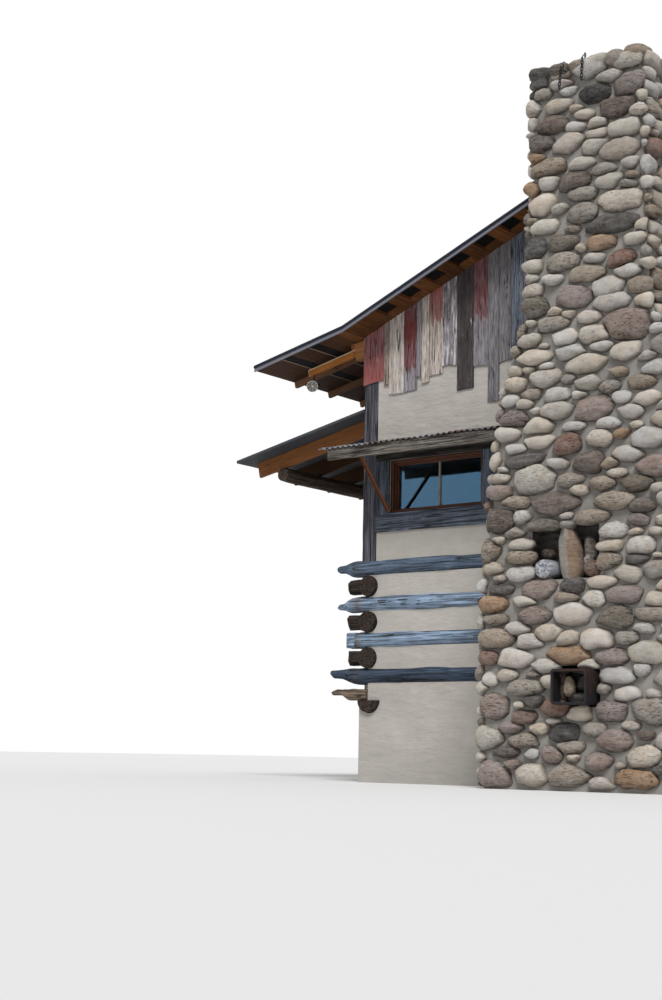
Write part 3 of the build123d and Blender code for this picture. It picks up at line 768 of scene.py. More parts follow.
def make_soffits():
    """Soffit boards under both rakes, cut round the row of vents, with a near-black plate in each vent as
    painted shade.
    """
    boards, mesh = Pieces(), Pieces()
    low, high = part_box("rake_soffits")
    shades = random.Random(3)
    for side in (-1, 1):
        for end, wall, rake in ((-1, wall_front, low.y), (1, wall_back, high.y)):
            x, stop = half_width, soffit_stops[end]
            near = wall + end * (vent_from_wall - vent_margin)
            far = wall + end * (vent_from_wall + vent_depth + vent_margin)
            while x > stop + 0.001:
                row = (half_width - vent_start - x + vent_margin) / vent_spacing
                at_vent = row > -0.01 and abs(row - round(row)) < 0.01
                reach = vent_width + 2 * vent_margin
                if x == half_width:
                    reach = vent_start - vent_margin
                elif not at_vent:
                    reach = vent_spacing - reach
                x1 = max(x - reach, stop)
                whole = not at_vent or x1 < vent_spacing / 3
                shade = shades.uniform(0.40, 0.90)
                for y0, y1 in ((wall, rake),) if whole else ((wall, near), (far, rake)):
                    points, faces = slanting_bar(
                        side * (x - 0.001), side * (x1 + 0.001), y0, y1, 0.0, soffit_thickness)
                    grain = points[:, (1, 0, 2)] + (x * 7, -side * x, -4.5)
                    boards.add(points, faces, grain, round(x * 9) * 0.7, [c * shade for c in pine],
                               flip=side * end > 0)
                # A near-black plate in each vent paints the shade of the open hole
                if not whole:
                    mesh.add(*slanting_bar(side * x, side * x1, near, far, 0.030, soffit_thickness),
                             flip=side * end > 0)
                x = x1
    boards.make("soffit_board_set", soffit_pine, "soffit_boards", "rake_soffits", sharp=20)
    mesh.make("vent_shade_set", vent_painted_shade, "black_steel", "rake_soffits", sharp=20)


def make_vent_painted_shade():
    """Near-black plates that paint the shade inside the vents, with dusty patches."""
    made, tree, shader = finish("vent_painted_shade", 0.9)
    dust = use(tree, patches, Place=object_place(tree), Size=0.05)
    feed(shader, blend(dust["Patch"] * 0.4, (0.004, 0.004, 0.004), (0.02, 0.015, 0.01)))
    return made


def make_rafters():
    """Rafters, eave tails, end rafters and blocks, ridge beam and wall plates."""
    main, tails, rails, blocks, beams, plates = (Pieces() for _ in range(6))
    shades = random.Random(11)
    eave_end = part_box("eave_rafters")[1].x
    first, last = wall_front + rafter_to_gable + first_rafter, wall_back - rafter_to_gable - first_rafter
    for side in (-1, 1):
        for n, y in enumerate(evenly(first, last, rafter_spacing)):
            shade = shades.uniform(0.75, 1.1)
            sloping(main, 80 + n, [c * shade for c in pine], side * rafter_foot, side * rafter_width, y,
                    0.002, rafter_depth)
        for n, y in enumerate(evenly(wall_front + first_rafter, wall_back - first_rafter, rafter_spacing)):
            shade = shades.uniform(0.8, 1.2)
            sloping(tails, 95 + n, [c * shade for c in tail_pine], side * eave_end, side * half_width, y,
                    0.002, tail_depth)

    def under_soffit(x):
        return slope_height(x) - end_rafter_depth

    for side, end, wall in four_corners():
        y = wall - end * rafter_width / 2
        outer, inner = side * (half_width + end_rafter_reach), side * (half_width + end_rafter_start)
        sloping(
            rails, 110 + side, gold_pine, outer, inner, y, 0.0, end_rafter_depth, height_at=under_soffit)
        sloping(rails, 114, fresh_edge, outer, inner, y, -0.002, strip_depth, strip_width, under_soffit)
        sloping(rails, 113, fresh_edge, outer + side * 0.006, outer, y, 0.0, end_rafter_depth, 0.047,
                under_soffit)
        sloping(rails, 112 + side, pine, inner + side * rafter_width, inner, y, 0.0, end_rafter_foot)
        y, z = wall - end * rafter_width, slope_height(inner) - 0.10
        blocks.add(*timber((inner, y, z), (side * half_width, y, z + 0.02), eave_block_width,
                           eave_block_height, seed=115 + side, wear=0.006), 115, block_pine)
    low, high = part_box("ridge_beam")
    z = (low.z + high.z) / 2
    beams.add(*timber((0, low.y, z), (0, high.y, z), high.x - low.x, high.z - low.z, (0, 0, 1), 120,
                      step=0.4), 120, pine)
    low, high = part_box("wall_plates")
    for side in (-1, 1):
        x, z = side * (half_width - plate_width / 2), (low.z + high.z) / 2
        plates.add(*timber((x, low.y, z), (x, high.y, z), plate_width, high.z - low.z, seed=122 + side,
                           step=0.4), 122, pine)
    for pieces, name, node in (
            (main, "rafter_set", "rafters"), (tails, "eave_rafter_set", "eave_rafters"),
            (rails, "end_rafter_set", "gable_end_rafters"), (blocks, "eave_block_set", "eave_blocks"),
            (beams, "ridge_beam_timber", "ridge_beam"), (plates, "wall_plate_set", "wall_plates")):
        pieces.make(name, oiled_pine, "rafter_timber", node)


oiled_pine = make_wood("oiled_pine", roughness=0.75, depth=0.0008, light=1.2, dark=0.6, crack_share=0.1)
dress(make_roof_boards(), "roof_deck", "eave_decks")
soffit_pine = make_wood(
    "soffit_pine", roughness=0.9, depth=0.001, light=1.35, dark=0.45, fibre=0.012, crack_share=0.2)
vent_painted_shade = make_vent_painted_shade()
make_rafters()
make_soffits()

# Roof steel
# Ribbed steel sheets, nearly black, over the boards, with a lavender-grey drip edge along the rakes
# and a folded cap on the ridge.
roof_steel_colour, roof_dust_colour = (0.045, 0.050, 0.060), (0.12, 0.11, 0.10)
drip_edge_colour, drip_dust_colour = (0.17, 0.18, 0.225), (0.20, 0.17, 0.15)
lip_colour, lip_dust_colour = (0.010, 0.014, 0.026), (0.04, 0.035, 0.035)
rib_pitch, rib_height, rake_reach = 0.30, 0.012, 0.402
deck_thickness, eave_sheet_reach, stack_half = 0.038, 1.217, 0.66
# Where the drip edges end, from the middle: in the chimney in front, at the ridge behind
trim_stops = {-1: 0.64, 1: 0.0}
# Outer and inner face from the rake's edge, underside and top from the boards' underside
drip_face, drip_kick = (0.0, -0.012, -0.014, 0.036), (0.004, 0.0, -0.014, -0.008)
sheet_lip = (0.011, 0.004, 0.022, 0.051)
rib_shape = [(0.0, 0), (0.02, 1), (0.05, 1), (0.07, 0), (0.15, 0)]


def make_steel(name, colour, worn_colour, worn_share, roughness, metallic=0.35):
    """Painted steel with dull, worn patches."""
    made, tree, shader = finish(name, roughness)
    shader.inputs["Metallic"].default_value = metallic
    spot = object_place(tree)
    wear = use(tree, patches, Place=spot, Size=0.5)
    fine = use(tree, patches, Place=spot, Size=0.06, Seed=2.0)
    share = wear["Patch"] * fine["Patch"] * worn_share
    feed(shader, blend(share, colour, worn_colour))
    feed(shader, fine["Patch"] * 0.2 + (roughness - 0.1), "Roughness")
    relief(shader, fine["Grit"], 0.0006)
    return made


def two_sided(top, thickness):
    """Points and faces of a sheet: its upper side, its lower side and the rim between them."""
    n, m = top.shape[:2]
    points = np.vstack([top.reshape(-1, 3), (top - (0, 0, thickness)).reshape(-1, 3)])
    faces = []
    for i in range(n - 1):
        for j in range(m - 1):
            a, b = i * m + j, (n + i) * m + j
            faces += [(a, a + m, a + m + 1, a + 1), (b, b + 1, b + m + 1, b + m)]
    rim = [i * m for i in range(n)] + [(n - 1) * m + j for j in range(1, m)]
    rim += [i * m + m - 1 for i in range(n - 2, -1, -1)] + [j for j in range(m - 2, 0, -1)]
    return points, faces + [(b, a, a + n * m, b + n * m) for a, b in zip(rim, rim[1:] + rim[:1])]


def ribbed_slope(x0, x1, lift, height_at, y0, y1):
    """A ribbed sheet's points and faces between two places across, its ribs counted from the front rake."""
    first = wall_front - rake_reach
    profile = [(first + n * rib_pitch + offset, up * rib_height)
               for n in range(math.ceil((y1 - first) / rib_pitch)) for offset, up in rib_shape]
    profile = [(y0, 0.0)] + [(y, up) for y, up in profile if y0 + 0.001 < y < y1 - 0.001] + [(y1, 0.0)]
    top = np.array([[(x, y, height_at(x) + lift + z) for y, z in profile] for x in np.linspace(x0, x1, 9)])
    return two_sided(top, 0.0015)


def make_roof_sheets():
    """Main sheets, split beside the stack, and the flatter sheets over the eaves."""
    y0, y1, lift = wall_front - rake_reach, wall_back + rake_reach, deck_thickness + 0.001
    main, eave = Pieces(), Pieces()
    for side in (-1, 1):
        for pieces, x0, x1, start in (
                (main, half_width, stack_half, y0), (main, stack_half, 0.012, wall_front),
                (eave, half_width + eave_sheet_reach, half_width, y0)):
            pieces.add(*ribbed_slope(side * x0, side * x1, lift, slope_height, start, y1), flip=side > 0)
    main.make("main_roof_sheets", roof_steel, "roof_steel", "roof_sheets", sharp=20)
    eave.make("eave_roof_sheets", roof_steel, "roof_steel", "eave_sheets", sharp=20)


def make_rake_trims():
    """Drip edges along both rakes, with the sheets' dark lips turned down over their tops."""
    trims, lips = Pieces(), Pieces()
    low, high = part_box("rake_trims")
    for side in (-1, 1):
        for end, edge in ((-1, low.y), (1, high.y)):
            for x0, x1 in ((high.x, half_width), (half_width, trim_stops[end])):
                for pieces, (out, back, bottom, top) in (
                        (trims, drip_face), (trims, drip_kick), (lips, sheet_lip)):
                    pieces.add(*slanting_bar(side * x0, side * x1, edge + end * back, edge + end * out,
                                             bottom, top), flip=side * end > 0)
    trims.make("rake_trim_set", drip_edge, "trim_steel", "rake_trims", sharp=20)
    lips.make("rake_lip_set", turned_lip, "trim_steel", "rake_trims", sharp=20)


roof_steel = make_steel("roof_steel", roof_steel_colour, roof_dust_colour, 0.5, 0.7, 0.0)
dress(roof_steel, "ridge_cap")
drip_edge = make_steel("drip_edge", drip_edge_colour, drip_dust_colour, 0.6, 0.5)
turned_lip = make_steel("turned_lip", lip_colour, lip_dust_colour, 0.3, 0.8, 0.0)
make_roof_sheets()
make_rake_trims()

# Gable boards
# Old barn boards of uneven length hung side by side on both gables, some bare grey, some with the last
# of a red or white paint.
bare_grey, tan_grey, umber_grey = (0.23, 0.215, 0.23), (0.27, 0.22, 0.19), (0.060, 0.050, 0.052)
cream_wood, slate_grey, plain_grey = (0.46, 0.41, 0.37), (0.135, 0.157, 0.195), (0.17, 0.165, 0.175)
old_red, dark_red, old_white = (0.37, 0.115, 0.110), (0.19, 0.040, 0.038), (0.70, 0.68, 0.68)
board_thickness, board_gap = 0.017, 0.002
paint_number = {old_red: 0.0, dark_red: 0.5, old_white: 1.0}
# Width, lower end, wood colour, paint colour, share of paint and the height above which the paint has
# held, from the corner inward
gable_boards = [
    (0.270, 4.118, bare_grey, old_red, 0.68, 0), (0.063, 4.090, tan_grey, old_white, 0.1, 0),
    (0.191, 3.980, cream_wood, old_white, 0.45, 0), (0.162, 3.981, bare_grey, dark_red, 0.55, 4.24),
    (0.063, 4.120, bare_grey, old_white, 0.15, 0), (0.094, 4.045, cream_wood, old_white, 0.1, 0),
    (0.161, 4.107, cream_wood, old_red, 0.30, 4.62), (0.179, 4.202, bare_grey, old_white, 0.4, 0),
    (0.196, 3.915, umber_grey, old_white, 0.22, 0), (0.170, 4.137, bare_grey, dark_red, 0.50, 4.62),
    (0.131, 3.765, plain_grey, old_white, 0.12, 0), (0.140, 4.140, plain_grey, old_white, 0.15, 0),
    (0.150, 4.060, slate_grey, old_white, 0.2, 0), (0.170, 4.150, bare_grey, old_white, 0.3, 0),
    (0.160, 4.090, umber_grey, old_white, 0.1, 0)]
fill_boards = [(0.216, 4.118, *paint) for paint in (
    (bare_grey, old_white, 0.3, 0), (slate_grey, old_white, 0.2, 0), (tan_grey, old_red, 0.3, 4.9),
    (plain_grey, old_white, 0.15, 0))]
# Where the rows of boards stop beside the middle, and where the last board is cut, for each gable
row_stops, board_stops = {-1: -0.66, 1: -0.01}, {-1: -0.62, 1: -0.001}


def hung_board(x0, x1, low, wall, end, seed, proud):
    """A board against a gable, its top under the roof boards and its lower end ragged."""
    x = np.array([x0, x0 + (x1 - x0) / 3, x0 + (x1 - x0) * 2 / 3, x1])
    ring_x = np.concatenate([x, x[::-1]])
    ring_y = np.repeat((1.0, 0.0), 4)
    share = np.linspace(0, 1, 16) ** 1.3
    ragged = lumps(together(ring_x, 0, seed), 0.045, seed) * 0.012
    bottom = low + ragged + (ring_x - x0) * math.sin(seed * 2.3) * 0.10
    top = np.array([slope_height(v) - 0.001 for v in ring_x])
    z = bottom + share[:, None] * (top - bottom)
    flow = together(z, ring_x, 0)
    edge = np.array([1, 0, 0, -1, -1, 0, 0, 1])
    xs = ring_x + edge * (np.abs(lumps(flow, 0.11, seed + 3)) * 0.004)
    cup = lumps(flow, 0.35, seed + 5) * 0.003
    depth = ring_y * (board_thickness + proud + cup)
    grain = together(z + seed * 7.3, xs - (x0 + x1) / 2, depth + 0.10 + 0.04 * math.sin(seed))
    return skin(together(xs, wall + end * depth, z), grain)


def make_gable_boards():
    """Both gables' boards; the chimney stands in front of the middle of the first."""
    for end, wall, name, node in (
            (-1, wall_front, "front_board_set", "front_boards"),
            (1, wall_back, "back_board_set", "back_boards")):
        boards = Pieces()
        for side in (-1, 1):
            x, n = -half_width, 0
            while x < row_stops[end]:
                row = gable_boards[n] if n < len(gable_boards) else fill_boards[n % len(fill_boards)]
                width, low, wood, paint, share, held = row
                seed = 130 + n + 40 * (side > 0) + 80 * (end > 0)
                right, proud = min(x + width - board_gap, board_stops[end]), 0.006 if width < 0.1 else 0.0
                points, faces, grain = hung_board(side * x, side * right, low, wall, end, seed, proud)
                if held:
                    share = share + 0.38 * np.clip((points[:, 2] - held) / 0.10, -1, 1)
                boards.add(points, faces, grain, seed, wood, share, side * end > 0, paint_number[paint])
                x += width
                n += 1
        boards.make(name, barn_board, "barn_boards", node)


def make_barn_board():
    """Grey wood with flaking paint; the share of paint is the piece's mark."""
    made, tree, shader = finish("barn_board", 0.9)
    attribute = place(tree, "Attribute", attribute_name="colour")
    seed = stored(tree, "seed")
    share = stored(tree, "mark")
    grain = stored(tree, "grain", "Vector")
    figure = use(tree, wood_figure, Ring=0.014, Fibre_Width=0.005, Crack_Share=0.5)
    pale = tinted(attribute["Color"], (1.95, 1.93, 1.92))
    deep = tinted(attribute["Color"], (0.24, 0.22, 0.22))
    wood = blend(ramp(figure["Fibre"], (0.35, 0.0), (0.65, 1.0)), deep, pale)
    wood = blend(figure["Rings"] * 0.3, wood, deep)
    paint = ramp(attribute["Alpha"], (0.0, old_red), (0.5, dark_red), (1.0, old_white))
    flakes = noise(stretched(grain, (2.2, 14.0, 14.0)), 1.6, 7.0, Roughness=0.72, W=seed)
    cover = ramp(flakes + (share - 0.5) * 0.5, (0.47, 0.0), (0.53, 1.0))
    paint = blend(figure["Patch"] * 0.4, paint, wood)
    worn = tinted(paint, (0.42, 0.4, 0.4))
    paint = blend(ramp(figure["Fibre"], (0.4, 0.75), (0.58, 0.0)), paint, worn)
    colour = blend(cover, wood, paint)
    colour = blend(figure["Cracks"], colour, (0.012, 0.01, 0.01))
    feed(shader, colour)
    relief(shader, figure["Height"] + cover * 0.3, 0.0025)
    return made


barn_board = make_barn_board()
make_gable_boards()

# Awnings
# Old corrugated steel over each pair of windows, nailed to three joists behind a rough plank, and held
# up at the outer end by a rusty steel angle.
awning_reach, awning_drip, awning_rise = 0.600, 0.020, 0.105
fascia_bottom, fascia_height, fascia_thickness = 3.225, 0.115, 0.036
corrugation_pitch, corrugation_height = 0.068, 0.019
fascia_colour = (0.115, 0.102, 0.09)
zinc_grey, brown_rust = (0.30, 0.31, 0.33), (0.13, 0.065, 0.045)
dull_steel, red_rust = (0.10, 0.06, 0.05), (0.24, 0.085, 0.035)
awning_overhang, sheet_lift, joist_drop, joist_width, joist_height = 0.11, 0.012, 0.032, 0.04, 0.058
# Where the awnings end, from the middle: at the chimney in front, nearly met behind
awning_stops = {-1: 1.02, 1: 0.1}
strut_foot_height, strut_flange, strut_steel = 2.745, 0.036, 0.004


def make_rust(name, bare_colour, rust_colour, rust_share, roughness, metallic):
    """Steel with rust in patches."""
    made, tree, shader = finish(name, roughness)
    shader.inputs["Metallic"].default_value = metallic
    spot = object_place(tree)
    wide = use(tree, patches, Place=spot, Size=0.4)
    small = use(tree, patches, Place=spot, Size=0.05, Seed=4.0)
    mask = ramp(wide["Patch"] * 0.6 + small["Patch"] * 0.4, (max(0.0, 0.75 - rust_share), 0.0),
                (min(1.0, 1.05 - rust_share), 1.0))
    rust = blend(small["Grit"], rust_colour, [c * 0.4 for c in rust_colour])
    feed(shader, blend(mask, bare_colour, rust))
    relief(shader, small["Grit"] * mask, 0.001)
    return made


def wavy_sheet(x0, x1, y0, y1, z0, z1, seed):
    """A corrugated sheet whose waves cross X, from its low edge to the wall."""
    across = int(abs(x1 - x0) / corrugation_pitch * 10)
    x, s = grid(np.linspace(x0, x1, across), np.linspace(0, 1, 7))
    wave = np.sin(x / corrugation_pitch * math.tau) * corrugation_height / 2
    sag = lumps(together(x, s * 0.6, 0), 0.4, seed) * 0.007
    top = together(x, y0 + s * (y1 - y0), z0 + s * (z1 - z0) + wave + sag)
    return two_sided(top, 0.004)


def make_awnings():
    """Four awnings: two on each gable."""
    sheets, fascias, joists, struts = (Pieces() for _ in range(4))
    top = fascia_bottom + fascia_height
    middle, inside = (fascia_bottom + top) / 2, awning_reach - fascia_thickness
    for n, (side, end, wall) in enumerate(four_corners()):
        seed, stop = 300 + 10 * n, awning_stops[end]
        sheets.add(
            *wavy_sheet(side * (half_width + awning_overhang), side * stop,
                        wall + end * (awning_reach + awning_drip), wall + end * 0.002, top + sheet_lift,
                        top + sheet_lift + awning_rise, seed), seed=seed, flip=side * end < 0)
        y = wall + end * (awning_reach - fascia_thickness / 2)
        fascias.add(*timber((side * half_width, y, middle), (side * stop, y, middle), fascia_thickness,
                            fascia_height, seed=seed, wear=0.008, rough=0.005, step=0.06, worn_ends=0.01),
                    seed, fascia_colour)
        for i in range(3):
            x, z = side * (half_width - 0.06 - i * (half_width - stop - 0.12) / 2), top - joist_drop
            joists.add(*timber((x, wall + end * inside, z), (x, wall, z + awning_rise * 0.94), joist_width,
                               joist_height, seed=seed + i + 1, wear=0.004), seed + i, fascia_colour)
        x = side * (half_width - post_size - jamb_width - strut_flange / 2)
        foot = np.array((x, wall + end * 0.045, strut_foot_height))
        head = np.array((x, wall + end * (inside - 0.01), fascia_bottom + 0.05))
        for wide, thick, out in ((strut_flange, strut_steel, 0.0), (strut_steel, strut_flange, 0.016)):
            shift = (side * out, 0, 0)
            struts.add(*timber(foot + shift, head + shift, wide, thick, seed=seed + 6, wear=0.001,
                               rough=0.0004), seed)
    sheets.make("awning_sheet_set", old_corrugated, "awning_steel", "awning_sheets")
    fascias.make("awning_fascia_set", rough_plank, "fascia_timber", "awning_fascias")
    joists.make("awning_joist_set", sawn_timber, "fascia_timber", "awning_joists")
    struts.make("awning_strut_set", rusty_angle, "rusty_steel", "awning_struts")


old_corrugated = make_rust("old_corrugated_steel", zinc_grey, brown_rust, 0.36, 0.55, 0.2)
rough_plank = make_wood("rough_plank", depth=0.006, light=2.7, dark=0.10, fibre=0.016, crack_share=0.9)
rusty_angle = make_rust("rusty_angle", dull_steel, red_rust, 0.75, 0.8, 0.1)
make_awnings()

# Porches
# Lean-to roofs on both sides: steel sheet on orange-brown rafters from a ledger on the wall to a round
# log beam, which stands on two log posts.
porch_reach, porch_top, porch_pitch, porch_thickness = 1.771, 3.879, 0.2146, 0.045
porch_beam_distance, porch_beam_radius, porch_post_radius, porch_post_offset = 1.260, 0.079, 0.090, 1.400
porch_board_thickness, porch_rafter_depth, porch_rafter_reach, porch_beam_inset = 0.028, 0.168, 1.64, 0.2
ledger_thickness, ledger_from_log = 0.045, 0.06


def porch_height(x):
    """Height of the porch sheets' underside."""
    return porch_top - porch_thickness - porch_pitch * (abs(x) - half_width)


def make_porches():
    """Sheets, rafters, ledgers, beams and posts on both sides."""
    sheets, rafters, ledgers, beams, posts = (Pieces() for _ in range(5))
    shades = random.Random(5)
    low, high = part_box("porch_ledgers")
    for side in (-1, 1):
        x0, x1 = side * (half_width + porch_reach), side * half_width
        sheets.add(*ribbed_slope(x0, x1, porch_thickness - porch_board_thickness / 2, porch_height,
                                 wall_front, wall_back), flip=side > 0)
        # The boards under the porch sheet take the near-black roof steel as painted shade under the porch
        # roof
        z0, z1 = porch_height(x0) + 0.015, porch_height(x1) + 0.015
        sheets.add(*timber((x0, middle_y, z0), (x1, middle_y, z1), wall_back - wall_front,
                           porch_board_thickness, seed=400, step=0.5, rough=0.0, wear=0.002), 400)
        for n, y in enumerate(evenly(wall_front + 0.25, wall_back - 0.25, rafter_spacing)):
            # Painted shade: the rafters behind the front one are nearly black, shaded by the porch roof
            shade = 0.9 if n == 0 else shades.uniform(0.10, 0.20)
            sloping(rafters, 410 + n, [c * shade for c in pine], side * (half_width + porch_rafter_reach),
                    side * (half_width - 0.048 - ledger_thickness), y, 0.001, porch_rafter_depth,
                    height_at=porch_height)
        x = side * (abs(side_log_x) + ledger_from_log + ledger_thickness / 2)
        z = (low.z + high.z) / 2
        ledgers.add(*timber((x, low.y, z), (x, high.y, z), ledger_thickness, high.z - low.z, seed=430,
                            step=0.4), 430, deep_pine)
        x = side * (half_width + porch_beam_distance)
        z = porch_height(x) - 0.17 - porch_beam_radius * math.hypot(1, porch_pitch)
        # The porch beams' dark brown is painted shade under the porch roofs
        beams.add(*log((x, wall_front + porch_beam_inset, z), (x, wall_back - porch_beam_inset, z),
                       porch_beam_radius, 432 + side, 0.005), 432, log_colours["porch_brown"])
        for y in (middle_y - porch_post_offset, middle_y + porch_post_offset):
            posts.add(*log((x, y, 0.0), (x, y, z - 0.03), porch_post_radius, 436 + y, 0.006), 436,
                      log_colours["old_brown"])
    sheets.make("porch_sheet_set", roof_steel, "roof_steel", "porch_sheets", sharp=20)
    rafters.make("porch_rafter_set", oiled_pine, "rafter_timber", "porch_rafters")
    ledgers.make("porch_ledger_set", oiled_pine, "rafter_timber", "porch_ledgers")
    beams.make("porch_beam_set", weathered_log, "brown_log", "porch_beams")
    posts.make("porch_post_set", weathered_log, "brown_log", "porch_posts")


make_porches()

# Chimney
# River stones laid in lime mortar round a single flue: rounded stones of every earth colour, seated
# deep so that each stands proud of the joint, battered in from a wide foot to a slim stack.
chimney_depth = 0.880
chimney_face = wall_front - chimney_depth
chimney_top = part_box("chimney")[1].z
chimney_outline = [
    (0.0, 1.160), (1.330, 1.175), (2.200, 1.130), (3.170, 1.005), (3.535, 0.950), (4.010, 0.790),
    (4.260, 0.690), (5.370, 0.652), (6.620, 0.615)]
corner_round, joint_depth, stone_proud = 0.10, 0.075, 0.030
# Heights count double while stones are fitted, so that they lie flat; crowded ones are dropped
stone_shape, least_gap = 2.0, 0.74
# Painted shade on a stone's foot in the joint, and painted top light: how much paler its top is and its
# underside darker
bed_shade, painted_top_light = np.array((0.34, 0.32, 0.30)), 0.20
mortar_grey, mortar_pale, mortar_dark = (0.25, 0.238, 0.22), (0.35, 0.335, 0.31), (0.17, 0.16, 0.147)
# Height above which the stones go right round the stack
above_roof = 5.55
# Tries, usual width and closeness of each round of stones, from large to small
stone_rounds = ((900, 0.35, 0.88), (9000, 0.27, 0.89), (9000, 0.20, 0.92), (9000, 0.145, 0.96))
flue_half, flue_floor, mortar_step = 0.15, 1.5, 0.04
# Stones of the rim's front, from the left, and half the stack's width and depth to their middles
rim_front = (
    (-0.47, "dark"), (-0.26, "brown"), (-0.05, "tan"), (0.14, "cream"), (0.33, "warm"), (0.50, "tan"))
rim_out, rim_side = 0.33, 0.48
# Each kind of stone's colour and how often it is drawn
stone_palette = {
    "cream": ((0.74, 0.70, 0.625), 34), "pale": ((0.74, 0.735, 0.72), 30), "warm": ((0.46, 0.43, 0.39), 14),
    "tan": ((0.47, 0.40, 0.32), 9), "mauve": ((0.37, 0.305, 0.29), 3), "brown": ((0.17, 0.13, 0.11), 2),
    "orange": ((0.48, 0.31, 0.18), 1.0), "rust": ((0.27, 0.155, 0.12), 1.2),
    "olive": ((0.20, 0.175, 0.135), 1.5), "dark": ((0.09, 0.085, 0.085), 2.5),
    "black": ((0.018, 0.021, 0.028), 0.4)}
# Stones of the face that stand out: place across and up, width, height, colour and lean in degrees
known_stones = [
    (-0.92, 2.67, 0.35, 0.16, "mauve", 0), (-0.93, 2.42, 0.35, 0.29, "brown", 0),
    (-0.21, 3.05, 0.26, 0.25, "rust", 0), (-0.66, 2.95, 0.42, 0.14, "dark", 8),
    (-0.34, 2.52, 0.56, 0.20, "brown", 4), (-0.01, 2.87, 0.32, 0.24, "brown", 5),
    (0.25, 2.52, 0.52, 0.15, "tan", 3), (-0.45, 2.34, 0.42, 0.14, "olive", 10),
    (0.04, 2.38, 0.46, 0.11, "tan", 4), (0.26, 2.25, 0.28, 0.13, "pale", 5),
    (0.24, 2.12, 0.24, 0.09, "cream", 4), (0.23, 1.98, 0.24, 0.15, "tan", 0),
    (-0.69, 2.19, 0.24, 0.11, "cream", 0), (-0.70, 2.06, 0.26, 0.12, "tan", -3),
    (-0.70, 1.92, 0.26, 0.13, "pale", 0), (0.48, 2.10, 0.25, 0.16, "pale", 0),
    (0.41, 1.87, 0.21, 0.25, "cream", 20), (0.65, 1.89, 0.28, 0.17, "warm", 0),
    (0.12, 1.80, 0.28, 0.10, "cream", 3), (-0.14, 1.78, 0.24, 0.13, "dark", 15),
    (-0.49, 1.76, 0.32, 0.16, "mauve", 8), (0.33, 1.68, 0.31, 0.14, "mauve", -3),
    (0.05, 1.66, 0.22, 0.17, "pale", 0), (-0.54, 1.54, 0.34, 0.17, "mauve", 5),
    (-0.16, 1.53, 0.35, 0.22, "pale", 0), (0.24, 1.49, 0.37, 0.18, "olive", -4),
    (-1.01, 1.65, 0.38, 0.18, "orange", 0), (0.09, 1.31, 0.35, 0.17, "pale", -4),
    (-0.40, 1.37, 0.28, 0.16, "cream", 0), (-0.96, 1.34, 0.44, 0.17, "tan", -3),
    (-1.06, 1.17, 0.26, 0.12, "rust", 0), (-0.20, 1.18, 0.47, 0.16, "orange", -3),
    (0.23, 1.15, 0.34, 0.14, "mauve", 3), (-0.95, 0.73, 0.40, 0.26, "mauve", 0),
    (0.23, 0.69, 0.27, 0.20, "mauve", -15), (0.59, 0.68, 0.39, 0.25, "warm", 10),
    (-0.09, 0.66, 0.27, 0.12, "cream", 5), (-0.24, 0.51, 0.31, 0.16, "black", 8),
    (0.26, 0.43, 0.35, 0.25, "mauve", -10), (-0.38, 0.31, 0.23, 0.17, "mauve", 0),
    (0.08, 0.27, 0.34, 0.16, "mauve", 0), (0.41, 0.13, 0.38, 0.15, "orange", -6),
    (-0.85, 0.33, 0.38, 0.10, "brown", 5), (-0.98, 0.13, 0.42, 0.23, "mauve", 0),
    (-0.20, 0.14, 0.38, 0.16, "warm", 4), (-0.48, 3.25, 0.31, 0.15, "cream", 0),
    (0.60, 3.03, 0.38, 0.19, "pale", 3), (0.67, 2.77, 0.34, 0.17, "mauve", 8),
    (-0.50, 6.53, 0.27, 0.15, "dark", 12), (0.11, 6.28, 0.33, 0.17, "black", 5),
    (0.47, 6.30, 0.38, 0.27, "mauve", -20), (-0.49, 5.93, 0.33, 0.15, "brown", 0),
    (-0.55, 5.78, 0.20, 0.12, "orange", 10), (-0.59, 5.50, 0.21, 0.16, "orange", 0),
    (-0.40, 5.67, 0.40, 0.18, "tan", 5), (-0.14, 5.49, 0.28, 0.17, "brown", 8),
    (0.27, 5.01, 0.56, 0.17, "dark", 3), (0.34, 4.67, 0.35, 0.13, "rust", 0),
    (0.41, 4.07, 0.44, 0.31, "mauve", 0), (-0.13, 4.40, 0.36, 0.25, "mauve", 0),
    (-0.33, 6.07, 0.40, 0.14, "brown", 6), (-0.19, 5.85, 0.28, 0.22, "pale", 0),
    (0.35, 5.68, 0.45, 0.19, "warm", -8)]
# Left and right edge, lower and upper edge of the niche and of the ash opening
niche, niche_depth, cleanout = (-0.55, 0.09, 1.86, 2.30), 0.25, (-0.271, 0.081, 0.739, 1.045)


def stack_half_width(z):
    """Half the stack's width at a height."""
    heights, widths = zip(*chimney_outline)
    return np.interp(z, heights, widths)


def round_stack(s, z, out):
    """A place on the stack: s round it from the middle of its face, z up, out from its skin."""
    side, a = np.where(s < 0, -1.0, 1.0), np.abs(s)
    w, r = stack_half_width(z), corner_round
    first, second = a - w, a - w - chimney_depth
    turn = np.clip((first / r + 1) * math.pi / 4, 0, math.pi / 2)
    x = np.where(first < -r, a, np.where(first < r, w - r + (r + out) * np.sin(turn), w + out))
    y = np.where(first < -r, -out, np.where(first < r, r - (r + out) * np.cos(turn), first))
    turn = np.clip((second / r + 1) * math.pi / 4, 0, math.pi / 2)
    x = np.where(second > -r, w - r + (r + out) * np.cos(turn), x)
    y = np.where(second > -r, chimney_depth - r + (r + out) * np.sin(turn), y)
    x = np.where(second > r, w - second, x)
    y = np.where(second > r, chimney_depth + out, y)
    return together(side * x, chimney_face + y, z)


